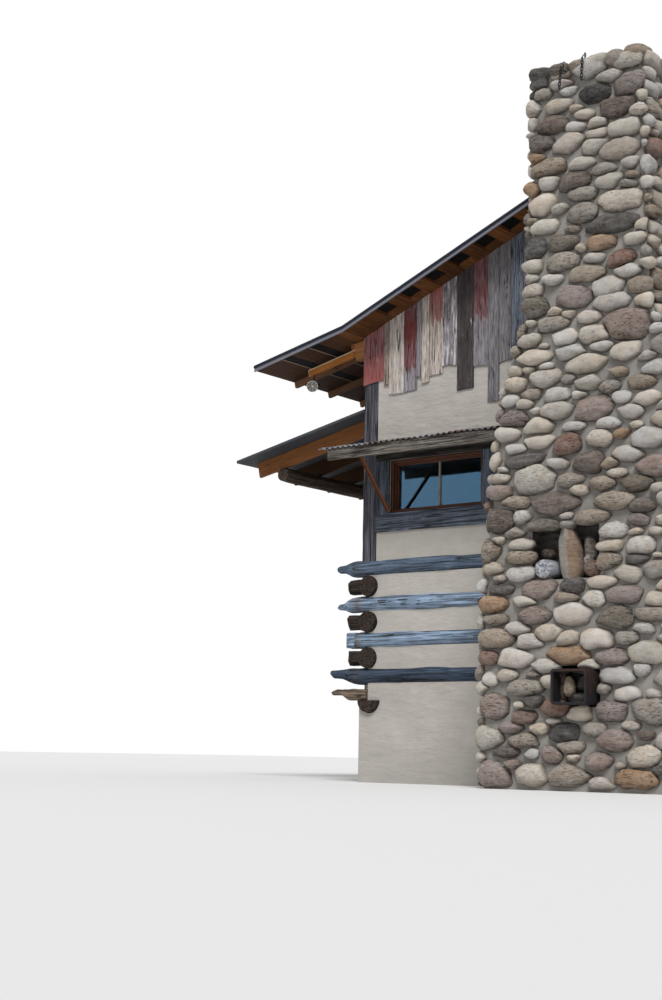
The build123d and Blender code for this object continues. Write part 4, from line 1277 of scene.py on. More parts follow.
def reach_towards(sizes, dx, dz, square=2.0):
    """How far stones of these half sizes and leans reach in a direction."""
    gap = np.hypot(dx, dz) + 1e-9
    lean = sizes[..., 2]
    u = np.abs(dx * np.cos(lean) + dz * np.sin(lean)) / gap / sizes[..., 0]
    v = np.abs(dz * np.cos(lean) - dx * np.sin(lean)) / gap / sizes[..., 1]
    return (u ** square + v ** square + 1e-6) ** (-1 / square)


def skin_limit(z):
    """How far round the stack its stones go: to the wall, or right round above the roof."""
    w = stack_half_width(z)
    return np.where(z > above_roof, 2 * w + chimney_depth, w + chimney_depth - 0.05)


def keep_off(spots, margin):
    """Moves middles that lie over the niche or the steel frame to their nearest edge."""
    for left, right, low, high in (niche, cleanout):
        low, high = low * stone_shape, high * stone_shape
        inside = ((spots[:, 0] > left - margin) & (spots[:, 0] < right + margin)
                  & (spots[:, 1] > low - margin) & (spots[:, 1] < high + margin))
        for i in np.flatnonzero(inside):
            moves = [(left - margin - spots[i, 0], 0), (right + margin - spots[i, 0], 0),
                     (0, low - margin - spots[i, 1]), (0, high + margin - spots[i, 1])]
            spots[i] += min(moves, key=lambda m: abs(m[0]) + abs(m[1]))


def lay_stones(seed=8):
    """Middles, half sizes and leans of the stones on the unrolled skin, pushed apart till they settle."""
    draws = np.random.default_rng(seed)
    spots = np.array([(s, z * stone_shape) for s, z, *_ in known_stones])
    sizes = np.array(
        [(w / 2, h / 2 * stone_shape, math.radians(lean) * 1.6) for _, _, w, h, _, lean in known_stones])
    fixed = len(spots)
    for tries, middle, closeness in stone_rounds:
        for u, v in draws.random((tries, 2)):
            s, z = (u * 2 - 1) * 2.95, v * (chimney_top - 0.12) + 0.06
            wide = float(np.clip(draws.lognormal(math.log(middle), 0.15), 0.12, 0.50))
            tall = wide * (draws.uniform(0.36, 0.56) if wide > 0.22 else draws.uniform(0.42, 0.72))
            if abs(s) > skin_limit(z):
                continue
            size = np.array([wide / 2, tall / 2 * stone_shape, draws.normal(0, 0.16)])
            dx, dz = spots[:, 0] - s, spots[:, 1] - z * stone_shape
            reach = reach_towards(sizes, dx, dz) + reach_towards(size, dx, dz)
            if (np.hypot(dx, dz) < reach * closeness).any():
                continue
            spots = np.vstack([spots, (s, z * stone_shape)])
            sizes = np.vstack([sizes, size])
    for _ in range(60):
        dx = spots[:, None, 0] - spots[None, :, 0]
        dz = spots[:, None, 1] - spots[None, :, 1]
        gap = np.hypot(dx, dz) + np.eye(len(spots)) * 9
        reach = reach_towards(sizes[:, None], dx, dz) + reach_towards(sizes[None, :], dx, dz)
        push = np.maximum(0, reach * 0.99 - gap) / gap * 0.25
        push[:fixed] = 0
        np.fill_diagonal(push, 0)
        spots += together((dx * push).sum(1), (dz * push).sum(1))
        z = spots[:, 1] / stone_shape
        spots[fixed:, 0] = np.clip(spots[fixed:, 0], -skin_limit(z[fixed:]), skin_limit(z[fixed:]))
        spots[fixed:, 1] = np.clip(z[fixed:], 0.06, chimney_top - 0.07) * stone_shape
        keep_off(spots[fixed:], 0.07)
    gap = np.hypot(spots[:, None, 0] - spots[None, :, 0], spots[:, None, 1] - spots[None, :, 1])
    crowded = gap < reach * least_gap
    crowded[np.tril_indices(len(spots))] = False
    keep = ~crowded.any(0) | (np.arange(len(spots)) < fixed)
    return spots[keep], sizes[keep]


def with_seam(spots, sizes):
    """The stones, and again those near the back seam as seen from its other side."""
    z = spots[:, 1] / stone_shape
    girth = 2 * (2 * stack_half_width(z) + chimney_depth)
    near = (z > above_roof - 0.25) & (np.abs(spots[:, 0]) > girth / 2 - 0.7)
    again = spots[near] - together(np.sign(spots[near, 0]) * girth[near], 0)
    return np.vstack([spots, again]), np.vstack([sizes, sizes[near]])


def stone_edges(i, spots, sizes):
    """The straight edges round one stone's share of the skin: direction and distance from its middle."""
    s, z = spots[i]
    dx, dz = spots[:, 0] - s, spots[:, 1] - z
    gap = np.hypot(dx, dz)
    near = np.argsort(gap)[1:24]
    mine = reach_towards(sizes[i], dx[near], dz[near])
    other = reach_towards(sizes[near], dx[near], dz[near])
    edges = [(dx[j] / gap[j], dz[j] / gap[j], gap[j] * a / (a + b)) for j, a, b in zip(near, mine, other)]
    edges += [(0, -1, z + 0.01), (0, 1, chimney_top * stone_shape - z)]
    if z / stone_shape < above_roof + 0.05:
        limit = float(stack_half_width(z / stone_shape)) + chimney_depth
        edges += [(1, 0, limit - s), (-1, 0, limit + s)]
    for (left, right, low, high), lap in ((niche, 0.04), (cleanout, 0.0)):
        low, high = low * stone_shape, high * stone_shape
        beside, over = low - 0.05 < z < high + 0.05, left - 0.05 < s < right + 0.05
        edges += [
            edge for holds, edge in ((beside and s < left, (1, 0, left + lap - s)),
                                     (beside and s > right, (-1, 0, s - right + lap)),
                                     (over and z < low, (0, 1, low + lap - z)),
                                     (over and z > high, (0, -1, z - high + lap))) if holds]
    return edges


def chipped(points, seed, depth=0.88):
    """The points of a stone with three broad facets worn on its front."""
    for k in range(3):
        turn = lattice(np.array([[seed, k, 5], [seed, k, 6]]), 3)
        direction = np.array(
            [math.cos(turn[0] * math.pi), math.sin(turn[0] * math.pi), 0.7 + 0.5 * turn[1]])
        direction /= np.linalg.norm(direction)
        along = points @ direction
        limit = along.max() * (depth + 0.13 * turn[1])
        points = points - np.outer(np.maximum(0, along - limit) * 0.8, direction)
    return points


def pebble(edges, size, joint, height, seed):
    """A rounded stone on its bed: offsets across, up and out, with its faces."""
    segments, turns = (36, 10) if size[0] > 0.14 else (30, 9) if size[0] > 0.09 else (24, 7)
    cosine, sine = np.cos(circle(segments)), np.sin(circle(segments))
    own_turn = lattice(np.array([[seed, 9, 2], [seed, 8, 3], [seed, 7, 4]]), 6)
    power = 5.5 + 2 * own_turn[0]
    own = 1 / (reach_towards(size, cosine, sine, 2.5 + 0.5 * own_turn[2]) * 1.18)
    total, nearest = own ** power, own * 0.9
    for nx, nz, share in edges:
        facing = np.maximum(0, cosine * nx + sine * nz) / max(share - joint, 0.03)
        total += facing ** power
        nearest = np.maximum(nearest, facing)
    reach = np.minimum(total ** (-1 / power) * 1.15, 1 / nearest)
    reach = sum(np.roll(reach, k) * (3 - abs(k)) for k in range(-2, 3)) / 9
    tilt = np.linspace(0, 1.14, turns + 1)[1:] * math.pi / 2
    spread = np.sin(tilt) ** (0.84 + 0.1 * own_turn[1])
    rise = squared_off(np.cos(tilt), 0.88 + 0.1 * own_turn[2])
    across = cosine * reach * spread[:, None]
    up = sine * reach * spread[:, None] / stone_shape
    out = rise[:, None] * height
    points = np.vstack([[[0.0, 0.0, height]], together(across, up, out).reshape(-1, 3)])
    lean = lattice(np.array([[seed, 1, 2], [seed, 2, 3]]), 5)
    wide, share = np.abs(reach).mean(), points[:, 2].clip(0) / height
    points[:, 0] += share * lean[0] * wide * 0.20
    points[:, 1] += share * lean[1] * wide * 0.12
    swell = 0.14 * lumps(points + seed * 1.7, 0.13, seed) + 0.09 * lumps(points, 0.05, seed + 1)
    points *= (1 + swell + 0.018 * lumps(points, 0.018, seed + 2))[:, None]
    points = chipped(points, seed)
    faces = [(0, 1 + j, 1 + (j + 1) % segments) for j in range(segments)]
    for k in range(turns - 1):
        for j in range(segments):
            here, after = 1 + k * segments + j, 1 + k * segments + (j + 1) % segments
            faces.append((here, here + segments, after + segments, after))
    return points, faces


def pick_stone(draws, name=None):
    """Colour and speckle of one stone."""
    names = list(stone_palette)
    weights = np.array([stone_palette[n][1] for n in names], float)
    drawn = names[draws.choice(len(names), p=weights / weights.sum())]
    name = name or drawn
    base = np.array(stone_palette[name][0]) * draws.uniform(0.86, 1.12)
    speckle = draws.uniform(0, 0.5) if name in ("cream", "pale") else draws.uniform(0.3, 1.0)
    warmth = draws.uniform(-0.04, 0.05)
    return base * (1 + warmth, 1.0, 1 - warmth), speckle


def make_river_stone():
    """River stone: mottled, with mineral specks, pits and a worn skin."""
    made, tree, shader = finish("river_stone", 0.8)
    spot = object_place(tree)
    colour = stored(tree, "colour", "Color")
    seed = stored(tree, "seed")
    speckle = stored(tree, "mark")
    wide = use(tree, patches, Place=spot, Size=0.14, Seed=seed)
    small = use(tree, patches, Place=spot, Size=0.03, Seed=seed)
    layered = place(
        tree, "Mapping", {"Vector": spot, "Rotation": (0.3, 0.2, 0.0), "Scale": (1.0, 1.0, 5.0)})
    bands = use(tree, patches, Place=layered, Size=0.16, Seed=seed)
    stains = use(tree, patches, Place=spot, Size=0.09, Seed=seed + 5.0)
    deep = tinted(colour, (0.5, 0.46, 0.44))
    warm = tinted(colour, (0.78, 0.6, 0.43))
    pale = blend(0.45, colour, (0.78, 0.75, 0.7))
    base = blend(wide["Patch"] * 0.6, colour, deep)
    base = blend(stains["Patch"] * 0.55, base, warm)
    base = blend(bands["Patch"] * 0.4, base, pale)
    base = blend(small["Patch"] * 0.25, base, pale)
    grains = place(tree, "TexVoronoi", {"Vector": spot, "Scale": 95.0, "Randomness": 1.0})
    dots = ramp(grains["Distance"], (0.18, 1.0), (0.36, 0.0))
    kind = place(tree, "SeparateColor", {"Color": grains["Color"]})
    dark_dots = dots * ramp(kind["Red"], (0.5, 0.0), (0.55, 1.0))
    pale_dots = dots * ramp(kind["Green"], (0.6, 0.0), (0.65, 1.0))
    base = blend(pale_dots * (speckle * 0.55), base, (0.55, 0.5, 0.4))
    base = blend(dark_dots * (speckle * 0.8), base, (0.05, 0.04, 0.035))
    holes = ramp(noise(layered, 26.0, 4.0, W=seed), (0.36, 1.0), (0.44, 0.0)) * speckle
    base = blend(holes * 0.75, base, (0.035, 0.03, 0.027))
    feed(shader, base)
    height = small["Patch"] * 0.6 + small["Grit"] + bands["Grit"] * speckle
    relief(shader, height - dark_dots * speckle - holes * 2.5, 0.008)
    return made


def make_mortar():
    """Grey-beige lime mortar, brushed back in the joints."""
    made, tree, shader = finish("mortar", 0.95)
    spot = object_place(tree)
    wide = use(tree, patches, Place=spot, Size=0.4)
    colour = blend(wide["Patch"], mortar_grey, mortar_pale)
    colour = blend(wide["Grit"] * 0.4, colour, mortar_dark)
    feed(shader, colour)
    relief(shader, wide["Grit"], 0.006)
    return made


def free_stone(middle, across, deep, up, seed, lumpy=0.10, blocky=0.82, turn=0.0):
    """A whole stone, rounded all over, of the given half sizes."""
    tilt, spin = grid(np.linspace(0.02, math.pi - 0.02, 14), circle(24))
    shape = squared_off(
        together(np.sin(tilt) * np.cos(spin), np.sin(tilt) * np.sin(spin), np.cos(tilt)), blocky)
    bumps = 1 + lumpy * lumps(shape + seed, 0.9, seed) + lumpy * 0.4 * lumps(shape + seed, 0.35, seed + 1)
    x, y, z = np.moveaxis(shape * bumps[..., None] * (across, deep, up), -1, 0)
    x, y = x * math.cos(turn) - y * math.sin(turn), x * math.sin(turn) + y * math.cos(turn)
    points, faces = skin(together(x, y, z) + middle)
    return points, [face[::-1] for face in faces]


def make_stack_stones():
    """Every stone of the stack's sides."""
    spots, sizes = lay_stones()
    every_spot, every_size = with_seam(spots, sizes)
    draws = np.random.default_rng(4)
    face, left, right = Pieces(), Pieces(), Pieces()
    for i, ((s, z), size) in enumerate(zip(spots, sizes)):
        edges = stone_edges(i, every_spot, every_size)
        height = joint_depth + stone_proud * draws.uniform(-0.4, 1.0) * min(1.0, size[1] / 0.14)
        offsets, faces = pebble(edges, size, 0.009, height, i)
        across, up, out = offsets.T
        colour, speckle = pick_stone(draws, known_stones[i][4] if i < len(known_stones) else None)
        # Painted shade darkens each stone's foot in the joint; painted top light makes its top paler and
        # its underside darker
        bed = np.clip((out / height - 0.15) / 0.45, 0, 1)[:, None]
        top_lit = 1 + painted_top_light * np.clip(up / size[1] * stone_shape, -1, 1)[:, None]
        colour = colour * top_lit * (bed + (1 - bed) * bed_shade)
        kind = face if abs(s) < stack_half_width(z / stone_shape) + 0.05 else (left if s < 0 else right)
        kind.add(round_stack(s + across, z / stone_shape + up, out - joint_depth), faces, seed=i * 0.37,
                 colour=colour, mark=speckle)
    for pieces, name in ((face, "face"), (left, "left"), (right, "right")):
        pieces.make(f"chimney_{name}_stones", river_stone, "river_stone", "chimney", sharp=80)


def make_rim():
    """The long stones laid flat round the flue on top of the stack."""
    rim = Pieces()
    draws = np.random.default_rng(6)
    middle = chimney_face + chimney_depth / 2
    places = [(x, -rim_out, 0.115, 0.15, name) for x, name in rim_front]
    places += [(-x, rim_out, 0.115, 0.15, None) for x, _ in rim_front]
    places += [(side * rim_side, y, 0.15, 0.10, None) for side in (-1, 1) for y in (-0.11, 0.11)]
    for n, (x, y, across, deep, name) in enumerate(places):
        colour, speckle = pick_stone(draws, name)
        lift = draws.uniform(-0.02, 0.01) - 0.02 * (x > 0.3) - 0.03 * (y > -0.3)
        rim.add(*free_stone((x, middle + y, chimney_top - 0.02 + lift), across, deep, 0.065, 900 + n, 0.16,
                            turn=draws.uniform(-0.2, 0.2)), seed=n * 0.71, colour=colour, mark=speckle)
    rim.make("chimney_rim_stones", river_stone, "river_stone", "chimney", sharp=80)


def make_mortar_core():
    """The mortar between the stones, left open at the niche, the steel frame and the flue."""
    core = Pieces()
    s, z = grid(np.arange(-2.30, 2.30 + mortar_step, mortar_step), np.linspace(0, chimney_top - 0.03, 165))
    w = stack_half_width(z)
    limit = np.where(z > above_roof - 0.05, 2 * w + chimney_depth, w + chimney_depth)
    s = np.clip(s, -limit, limit)
    out = -joint_depth + lumps(together(s, z, 0), 0.10, 2) * 0.007
    n, m = s.shape
    faces = []
    for i in range(n - 1):
        for j in range(m - 1):
            a = i * m + j
            cs, cz = (s[i, j] + s[i + 1, j]) / 2, (z[i, j] + z[i, j + 1]) / 2
            hollow = any(left - 0.03 < cs < right + 0.03 and low - 0.03 < cz < high + 0.03
                         for left, right, low, high in (niche, cleanout))
            if not hollow and s[i + 1, j] - s[i, j] > 1e-6:
                faces.append((a, a + m, a + m + 1, a + 1))
    core.add(round_stack(s, z, out).reshape(-1, 3), faces)
    top, flue_y = chimney_top - 0.035, wall_front - chimney_depth / 2
    square = ((-1, -1), (1, -1), (1, 1), (-1, 1))
    outer = [(x * 0.60, (chimney_face + 0.05, wall_front - 0.05)[y > 0], top) for x, y in square]
    inner = [(x * flue_half, flue_y + y * flue_half, z) for z in (top, flue_floor) for x, y in square]
    faces = [(k + j, k + (j + 1) % 4, k + 4 + (j + 1) % 4, k + 4 + j) for k in (0, 4) for j in range(4)]
    core.add(np.array(outer + inner), [*faces, (8, 9, 10, 11)])
    core.make("chimney_mortar", mortar, "river_stone", "chimney", sharp=50)


river_stone = make_river_stone()
mortar = make_mortar()
make_stack_stones()
make_rim()
make_mortar_core()

# Niche, cleanout and chains
# A double niche in the stack's face, parted by an upright stone, with a log end in its left half, and
# lower down a blackened steel box round the ash opening. Two short chains hang from the stack's top.
niche_left_colour, niche_right_colour = (0.50, 0.49, 0.46), (0.36, 0.245, 0.16)
dark_lining_colour, niche_log_colour = (0.035, 0.030, 0.028), (0.36, 0.37, 0.40)
niche_lap, pillar_middle, pillar_size = 0.06, (-0.215, 2.07), (0.108, 0.11, 0.252)
niche_log_x, niche_log_z, niche_log_radius = -0.433, 1.945, 0.085
# Place across and up, half width and height, distance behind the face and colour of the small stones
niche_rows = [
    (0.03, 1.93, 0.095, 0.07, 0.10, (0.22, 0.125, 0.095)),
    (-0.03, 2.10, 0.05, 0.13, 0.16, (0.19, 0.16, 0.14)),
    (-0.01, 2.01, 0.028, 0.04, 0.09, (0.45, 0.43, 0.40)),
    (-0.47, 2.10, 0.06, 0.045, 0.18, (0.10, 0.065, 0.05))]
rubble_rows = [
    (-0.155, 0.90, 0.052, 0.082, 0.0, (0.48, 0.40, 0.29)),
    (-0.225, 0.90, 0.035, 0.11, 0.04, (0.15, 0.08, 0.05)),
    (-0.06, 0.93, 0.055, 0.06, 0.07, (0.07, 0.075, 0.072)),
    (-0.09, 0.80, 0.11, 0.045, 0.05, (0.05, 0.042, 0.038)),
    (0.01, 0.86, 0.045, 0.09, 0.08, (0.035, 0.032, 0.03))]
box_steel, box_depth = 0.024, 0.157
black_steel, dark_rust = (0.022, 0.022, 0.026), (0.07, 0.04, 0.03)
# Place across, height and sideways lean of each chain
chain_rows = ((-0.190, chimney_top, 0.10), (0.030, chimney_top + 0.03, 0.05))
link_wire, link_half_length, link_half_width, link_pitch, link_count = 0.0048, 0.0200, 0.0125, 0.030, 9


def pocket(left, right, low, high, y0, y1, seed):
    """The rough inside of a hole in the stack, open to the front."""
    around, deep = 48, 7
    angle = circle(around) + math.tau / 8
    box = together(np.cos(angle), np.sin(angle))
    box /= np.abs(box).max(-1, keepdims=True)
    rings = np.zeros((deep, around, 3))
    rings[..., (0, 2)] = box * ((right - left) / 2, (high - low) / 2)
    rings[..., 1] = np.linspace(y0, y1, deep)[:, None]
    rings = rings + ((left + right) / 2, 0, (low + high) / 2)
    rings[..., (0, 2)] += box * lumps(rings, 0.09, seed)[..., None] * 0.016
    points = np.vstack([rings.reshape(-1, 3), rings[-1].mean(0)])
    last = (deep - 1) * around
    back = [(last + j, last + (j + 1) % around, len(points) - 1) for j in range(around)]
    return points, ring_faces(deep, around) + back


def small_stones(pieces, rows, deep, mark):
    """Whole stones set behind the stack's face."""
    for x, z, across, up, out, colour in rows:
        pieces.add(*free_stone((x, chimney_face + out, z), across, deep, up, 9 + z, 0.2), seed=z,
                   colour=colour, mark=mark)


def make_niche():
    """The niche's near-black lining, the upright stone that parts it, small stones and a log's end."""
    back = chimney_face + niche_depth
    lining, stone, ends = Pieces(), Pieces(), Pieces()
    left, right, low, high = niche
    lining.add(*pocket(left - niche_lap, right + niche_lap, low - niche_lap, high + niche_lap,
                       chimney_face + joint_depth - 0.005, back, 2), seed=1.0, colour=dark_lining_colour, mark=0.3)
    points, faces = free_stone((0, 0, 0), *pillar_size, 7, 0.12, 0.72)
    x, y, z = points.T
    rise = z / pillar_size[2]
    y = np.where(y < 0, y * 0.5 - 0.75 * np.maximum(0, 0.085 - np.abs(x - 0.030)), y)
    x = x * (1 - 0.35 * np.clip(rise, 0, 1) ** 2) - 0.020 * rise + pillar_middle[0]
    tint = np.clip((x + 0.188 + 0.02 * rise) / 0.012, 0, 1)[:, None]
    shades = np.array(niche_left_colour) * (1 - tint) + np.array(niche_right_colour) * tint
    stone.add(together(x, y + (chimney_face + 0.12), z + pillar_middle[1]), faces, seed=3.1,
              colour=shades, mark=0.4)
    small_stones(stone, niche_rows, 0.06, 0.8)
    ends.add(*log((niche_log_x, chimney_face + 0.015, niche_log_z), (niche_log_x, back, niche_log_z),
                  niche_log_radius, seed=8, lumpy=0.006, step=0.04), 8, niche_log_colour)
    lining.make("niche_lining", river_stone, "river_stone", "chimney", sharp=60)
    stone.make("niche_stones", river_stone, "river_stone", "niche_stone", sharp=80)
    ends.make("niche_log_end", weathered_log, "grey_log", "niche_log")


def make_cleanout():
    """The rubble behind the steel box."""
    left, right, low, high = cleanout
    rubble = Pieces()
    rubble.add(
        *pocket(left + box_steel, right - box_steel, low + box_steel, high - box_steel, chimney_face - 0.02,
                chimney_face + box_depth, 5), seed=1.0, colour=dark_lining_colour, mark=0.3)
    small_stones(rubble, rubble_rows, 0.05, 0.6)
    rubble.make("cleanout_rubble", river_stone, "river_stone", "chimney", sharp=80)


def chain_link(middle, upright):
    """One oval link, flat to the wall or edge on."""
    long, round_wire = 18, 7
    u, v = grid(circle(long), circle(round_wire))
    x = np.cos(u) * (link_half_width + link_wire * np.cos(v))
    z = np.sin(u) * (link_half_length + link_wire * np.cos(v))
    y = link_wire * np.sin(v)
    if upright:
        x, y = y, x
    after = [(i * round_wire, (i + 1) % long * round_wire) for i in range(long)]
    faces = [(a + j, b + j, b + (j + 1) % round_wire, a + (j + 1) % round_wire)
             for a, b in after for j in range(round_wire)]
    return together(x, y, z).reshape(-1, 3) + middle, faces


def make_chains():
    """Two short chains over the front edge of the stack's top."""
    chains = Pieces()
    for x, high, lean in chain_rows:
        for k in range(link_count):
            y = chimney_face - stone_proud - 0.024 + 0.05 * max(0.0, 1 - k / 2.0)
            link = x - lean * k * link_pitch, y, high - k * link_pitch
            chains.add(*chain_link(link, k % 2 == 0), flip=k % 2 == 0)
    chains.make("stack_chains", blackened_steel, "black_steel", "chimney", sharp=60)


make_niche()
make_cleanout()
blackened_steel = make_rust("blackened_steel", black_steel, dark_rust, 0.25, 0.6, 0.4)
make_chains()
dress(blackened_steel, "cleanout_frame")

# Door and floor
# A plank door on strap hinges in a heavy timber frame under the left porch, and the boarded floor
# inside.
door_brown, floor_brown, frame_timber = (0.13, 0.07, 0.04), (0.24, 0.155, 0.095), (0.16, 0.105, 0.07)
plank_count, plank_thickness, batten_thickness = 6, 0.030, 0.015
strap_width, strap_thickness = 0.045, 0.005
batten_width, strap_pieces, strap_step, nail_spacing, pin_radius = 0.12, 12, 0.055, 0.17, 0.009
floor_board_width = 0.14


def make_door():
    """Upright planks with three battens inside, and two strap hinges and a ring outside."""
    low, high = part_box("door")
    wide, middle = (high.y - low.y) / plank_count, (low.z + high.z) / 2
    leaf, steel = Pieces(), Pieces()
    x = low.x + plank_thickness / 2
    for n in range(plank_count):
        y = low.y + wide * (n + 0.5)
        leaf.add(*timber((x, y, low.z + 0.006), (x, y, high.z - 0.004), wide - 0.004, plank_thickness,
                         (1, 0, 0), 500 + n, 0.004), 500 + n, door_brown)
    x = low.x + plank_thickness + batten_thickness / 2
    levels = low.z + 0.25, middle, high.z - 0.25
    for n, z in enumerate(levels):
        leaf.add(*timber((x, low.y + 0.03, z), (x, high.y - 0.03, z), batten_thickness, batten_width,
                         seed=510 + n, wear=0.003), 510 + n, door_brown)
    x = low.x - strap_thickness / 2
    for z in (levels[0], levels[2]):
        for n in range(strap_pieces):
            y0, y1 = (high.y - 0.01 - strap_step * (n + step) for step in (0, 1))
            steel.add(*timber((x, y0, z), (x, y1, z), strap_thickness, strap_width * (1 - 0.04 * n),
                              seed=520, wear=0.001, rough=0.0003, step=1.0), 520)
        for n in range(4):
            steel.add(*free_stone((x - 0.004, high.y - 0.08 - nail_spacing * n, z), 0.004, 0.010, 0.010,
                                  530 + n, 0.0, 1.0))
        steel.add(*log((x, high.y + 0.006, z - strap_width), (x, high.y + 0.006, z + strap_width),
                       pin_radius, 535, 0.0, around=12, step=0.03))
    points, faces = chain_link((0.0, 0.0, 0.0), True)
    steel.add(points * (1.4, 3.0, 3.0) + (x - 0.012, low.y + 0.09, middle - 0.03), faces)
    steel.add(*free_stone((x - 0.006, low.y + 0.09, middle + 0.024), 0.010, 0.018, 0.022, 540, 0.0))
    leaf.make("door_leaf", weathered_door, "door_boards", "door")
    steel.make("door_ironwork", blackened_steel, "black_steel", "door", sharp=50)


def make_door_frame():
    """Two jambs and a lintel."""
    low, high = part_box("door_frame")
    opening_low, opening_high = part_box("door")
    x, deep, side = (low.x + high.x) / 2, high.x - low.x, opening_low.y - low.y
    frame_set = Pieces()
    for n, y in enumerate((low.y + side / 2, high.y - side / 2)):
        frame_set.add(*timber((x, y, low.z), (x, y, opening_high.z), side, deep, (1, 0, 0), seed=550 + n),
                      550 + n, frame_timber)
    z = (opening_high.z + high.z) / 2
    frame_set.add(
        *timber((x, low.y, z), (x, high.y, z), deep, high.z - opening_high.z, seed=553), 553, frame_timber)
    frame_set.make("door_frame_timbers", sawn_timber, "door_boards", "door_frame")


def make_floor():
    """Floor boards laid along the cabin."""
    low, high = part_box("floor")
    shades = random.Random(9)
    boards = Pieces()
    count = round((high.x - low.x) / floor_board_width)
    wide = (high.x - low.x) / count
    for n in range(count):
        x, z = low.x + wide * (n + 0.5), (low.z + high.z) / 2
        shade = shades.uniform(0.75, 1.15)
        boards.add(*timber((x, low.y, z), (x, high.y, z), wide - 0.003, high.z - low.z, seed=560 + n,
                           wear=0.003, rough=0.0006, step=1.2), 560 + n, [c * shade for c in floor_brown])
    boards.make("floor_board_set", oiled_pine, "floor_boards", "floor")


weathered_door = make_wood(
    "weathered_door", roughness=0.7, depth=0.0015, light=1.4, dark=0.5, crack_share=0.25)
make_door()
make_door_frame()
make_floor()

# Floodlight
# A round chromed lamp with a lobed reflector, held in a black yoke on an arm under the left end
# rafter.
lamp_radius, lamp_length, lamp_neck, lamp_lobes = 0.062, 0.130, 0.028, 8
lamp_aim = (0.55, -0.8, -0.25)
lamp_colour, bulb_colour = np.array((0.97, 0.95, 0.92)), (0.75, 0.74, 0.68)
lamp_drop, lamp_shift, yoke_width, yoke_steel, arm_radius = 0.125, 0.020, 0.014, 0.004, 0.009


def lamp_axes():
    """Unit directions across the lamp, up it and out of its face."""
    out = np.array(lamp_aim) / np.linalg.norm(lamp_aim)
    across = np.cross((0, 0, 1), out)
    across /= np.linalg.norm(across)
    return across, np.cross(out, across), out


def turned(profile, around, ripple=0.0):
    """Points and faces of a profile of radius and distance turned about the lamp's axis."""
    across, up, out = lamp_axes()
    angle = circle(around)
    rings = []
    for radius, distance, share in profile:
        size = radius * (1 + ripple * share * np.abs(np.cos(angle * lamp_lobes / 2)))
        ring = np.outer(size * np.cos(angle), across) + np.outer(size * np.sin(angle), up)
        rings.append(ring + out * distance)
    return skin(np.array(rings))


def make_floodlight():
    """Housing, lobed reflector, bulb, yoke and arm."""
    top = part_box("floodlight")[1].z
    arm_x, arm_y = -half_width - end_rafter_reach + lamp_radius, wall_front + rafter_width / 2
    foot = np.array((arm_x - lamp_shift, arm_y, top - lamp_drop))
    across, up, out = lamp_axes()
    centre = foot + out * (lamp_length / 2 - lamp_neck)
    face, r = lamp_length / 2, lamp_radius
    shell, inside, bracket = Pieces(), Pieces(), Pieces()
    outline = [
        (0.010, -face, 0), (lamp_neck, -face, 0), (lamp_neck, -face + 0.022, 0),
        (r * 0.62, -face + 0.045, 0), (r * 0.86, -0.005, 0), (r * 0.95, face - 0.022, 0),
        (r, face - 0.018, 0), (r, face - 0.002, 0), (r * 0.97, face, 0), (r * 0.90, face, 0),
        (r * 0.90, face - 0.012, 0), (r * 0.80, face - 0.030, 1), (r * 0.60, face - 0.052, 1),
        (r * 0.32, face - 0.066, 1), (0.006, face - 0.070, 0)]
    points, faces = turned(outline, 64, 0.10)
    # Painted reflection: inside the face the reflector is dark in the grooves between its lobes and bright
    # on their crests
    turn = np.arctan2((points @ up), (points @ across))
    painted_lobe_reflection = np.abs(np.cos(turn * lamp_lobes / 2)) ** 0.7
    lit = (points @ out > face - 0.075) & (np.hypot(points @ up, points @ across) < r * 0.88)
    tint = np.where(lit, 0.04 + 0.96 * painted_lobe_reflection, 0.7)[:, None] * lamp_colour
    shell.add(points + centre, faces, colour=tint)
    bulb = [(0.002, face - 0.070, 0), (0.011, face - 0.066, 0), (0.014, face - 0.045, 0),
            (0.010, face - 0.030, 0), (0.002, face - 0.026, 0)]
    points, faces = turned(bulb, 16)
    inside.add(points + centre, faces, colour=bulb_colour)
    for side in (-1, 1):
        beside, root = across * side * (r + yoke_steel), foot + (0, 0, 0.022)
        for start, stop in ((centre + beside, root + beside), (root + beside, root)):
            bracket.add(*timber(start, stop, yoke_width, yoke_steel, out, 570, 0.001, 0.0002))
    bracket.add(*log(foot, (arm_x, arm_y, top), arm_radius, 571, 0.0, around=16, step=0.03))
    shell.make("floodlight_shell", chrome, "lamp", "floodlight", sharp=50)
    inside.make("floodlight_bulb", lamp_bulb, "lamp", "floodlight")
    bracket.make("floodlight_bracket", blackened_steel, "black_steel", "floodlight")


def make_chrome():
    """Chromed steel, dulled by dust, with the painted reflections that it takes from the points' colour."""
    made, tree, shader = finish("lamp_chrome", 0.22)
    shader.inputs["Metallic"].default_value = 0.6
    dust = use(tree, patches, Place=object_place(tree), Size=0.02)
    colour = stored(tree, "colour", "Color")
    feed(shader, blend(dust["Patch"] * 0.3, colour, (0.2, 0.18, 0.15)))
    feed(shader, dust["Grit"] * 0.3 + 0.1, "Roughness")
    return made


def make_bulb():
    """Frosted white glass of the bulb."""
    made, tree, shader = finish("lamp_bulb", 0.4)
    dust = use(tree, patches, Place=object_place(tree), Size=0.02)
    feed(shader, blend(dust["Patch"] * 0.2, (0.78, 0.77, 0.72), (0.5, 0.48, 0.42)))
    return made


chrome, lamp_bulb = make_chrome(), make_bulb()
make_floodlight()

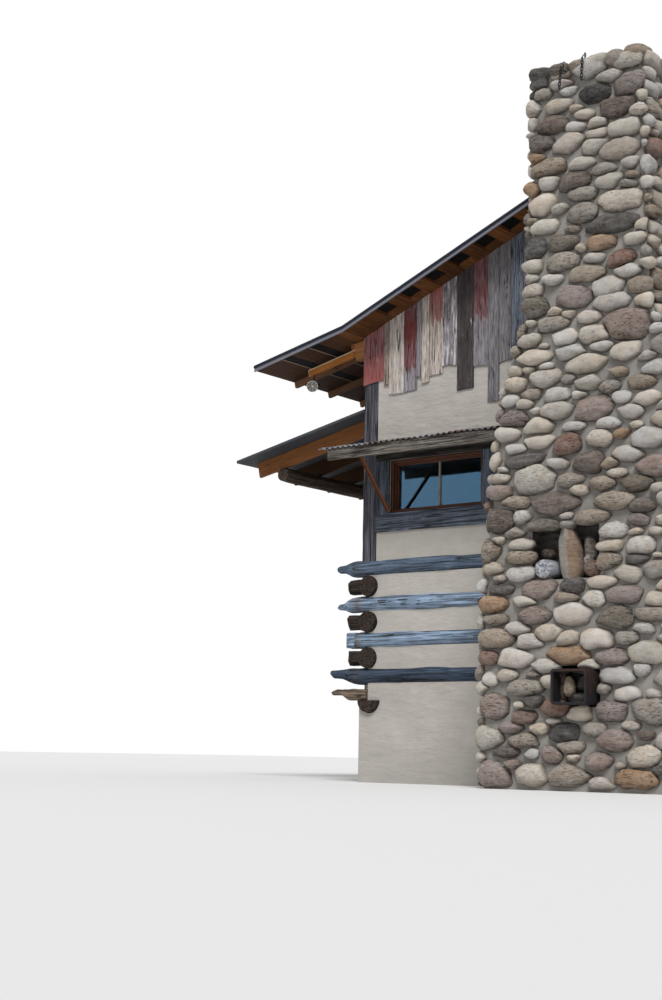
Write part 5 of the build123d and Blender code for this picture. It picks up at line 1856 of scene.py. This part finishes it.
# Stage
# A pale floor and plain soft light, with the camera where the photograph was taken from.
studio_half, studio_grey = 60, 0.80
sky_seen, sky_light = 1.0, 0.43
sun_strength, sun_spread, sun_tilt, sun_turn = 2.5, 22, 43, 36
photo_focal_pixels, photo_height_pixels, sensor = 1610, 1000, 36
camera_place = (6.922, -13.198 + wall_front, 0.296)
camera_yaw, camera_pitch, camera_roll = (math.radians(a) for a in (38.4, 8.9, -1.12))


def linked(name, data):
    """A new object in the scene."""
    made = bpy.data.objects.new(name, data)
    bpy.context.scene.collection.objects.link(made)
    return made


def make_stage():
    """Floor, world and sun."""
    mesh = bpy.data.meshes.new("studio_floor")
    corners = [(x * studio_half, y * studio_half, 0) for x, y in ((-1, -1), (1, -1), (1, 1), (-1, 1))]
    mesh.from_pydata(corners, [], [(0, 1, 2, 3)])
    made, tree, shader = finish("studio_floor", 0.9)
    shader.inputs["Base Color"].default_value = (studio_grey, studio_grey, studio_grey, 1)
    mesh.materials.append(made)
    linked("studio_floor", mesh)
    world = bpy.data.worlds.new("studio_world")
    world.use_nodes = True
    path = place(world.node_tree, "LightPath")
    seen = maths("MAXIMUM", path["Is Camera Ray"], maths("MAXIMUM", path["Is Glossy Ray"],
                                                         path["Is Transmission Ray"]))
    sky = world.node_tree.nodes["Background"]
    sky.inputs["Color"].default_value = (1, 1, 1, 1)
    feed(sky, seen * (sky_seen - sky_light) + sky_light, "Strength")
    bpy.context.scene.world = world
    lamp = bpy.data.lights.new("studio_key", "SUN")
    lamp.energy, lamp.angle = sun_strength, math.radians(sun_spread)
    linked("studio_key", lamp).rotation_euler = math.radians(sun_tilt), 0, math.radians(sun_turn)


def make_camera():
    """The photograph's view: low, from the front right, looking up at the stack."""
    lens = bpy.data.cameras.new("view")
    lens.sensor_width = sensor
    lens.lens = sensor * photo_focal_pixels / photo_height_pixels
    camera = linked("view", lens)
    level = math.cos(camera_pitch)
    across, along = math.cos(camera_yaw), math.sin(camera_yaw)
    forward = np.array([-along * level, across * level, math.sin(camera_pitch)])
    right = np.array([across, along, 0.0])
    down = np.cross(forward, right)
    matrix = np.eye(4)
    matrix[:3, 0] = math.cos(camera_roll) * right + math.sin(camera_roll) * down
    matrix[:3, 1] = math.sin(camera_roll) * right - math.cos(camera_roll) * down
    matrix[:3, 2], matrix[:3, 3] = -forward, camera_place
    camera.matrix_world = Matrix(matrix.tolist())
    bpy.context.scene.camera = camera


make_stage()
make_camera()
bpy.context.scene.view_settings.view_transform = "Standard"
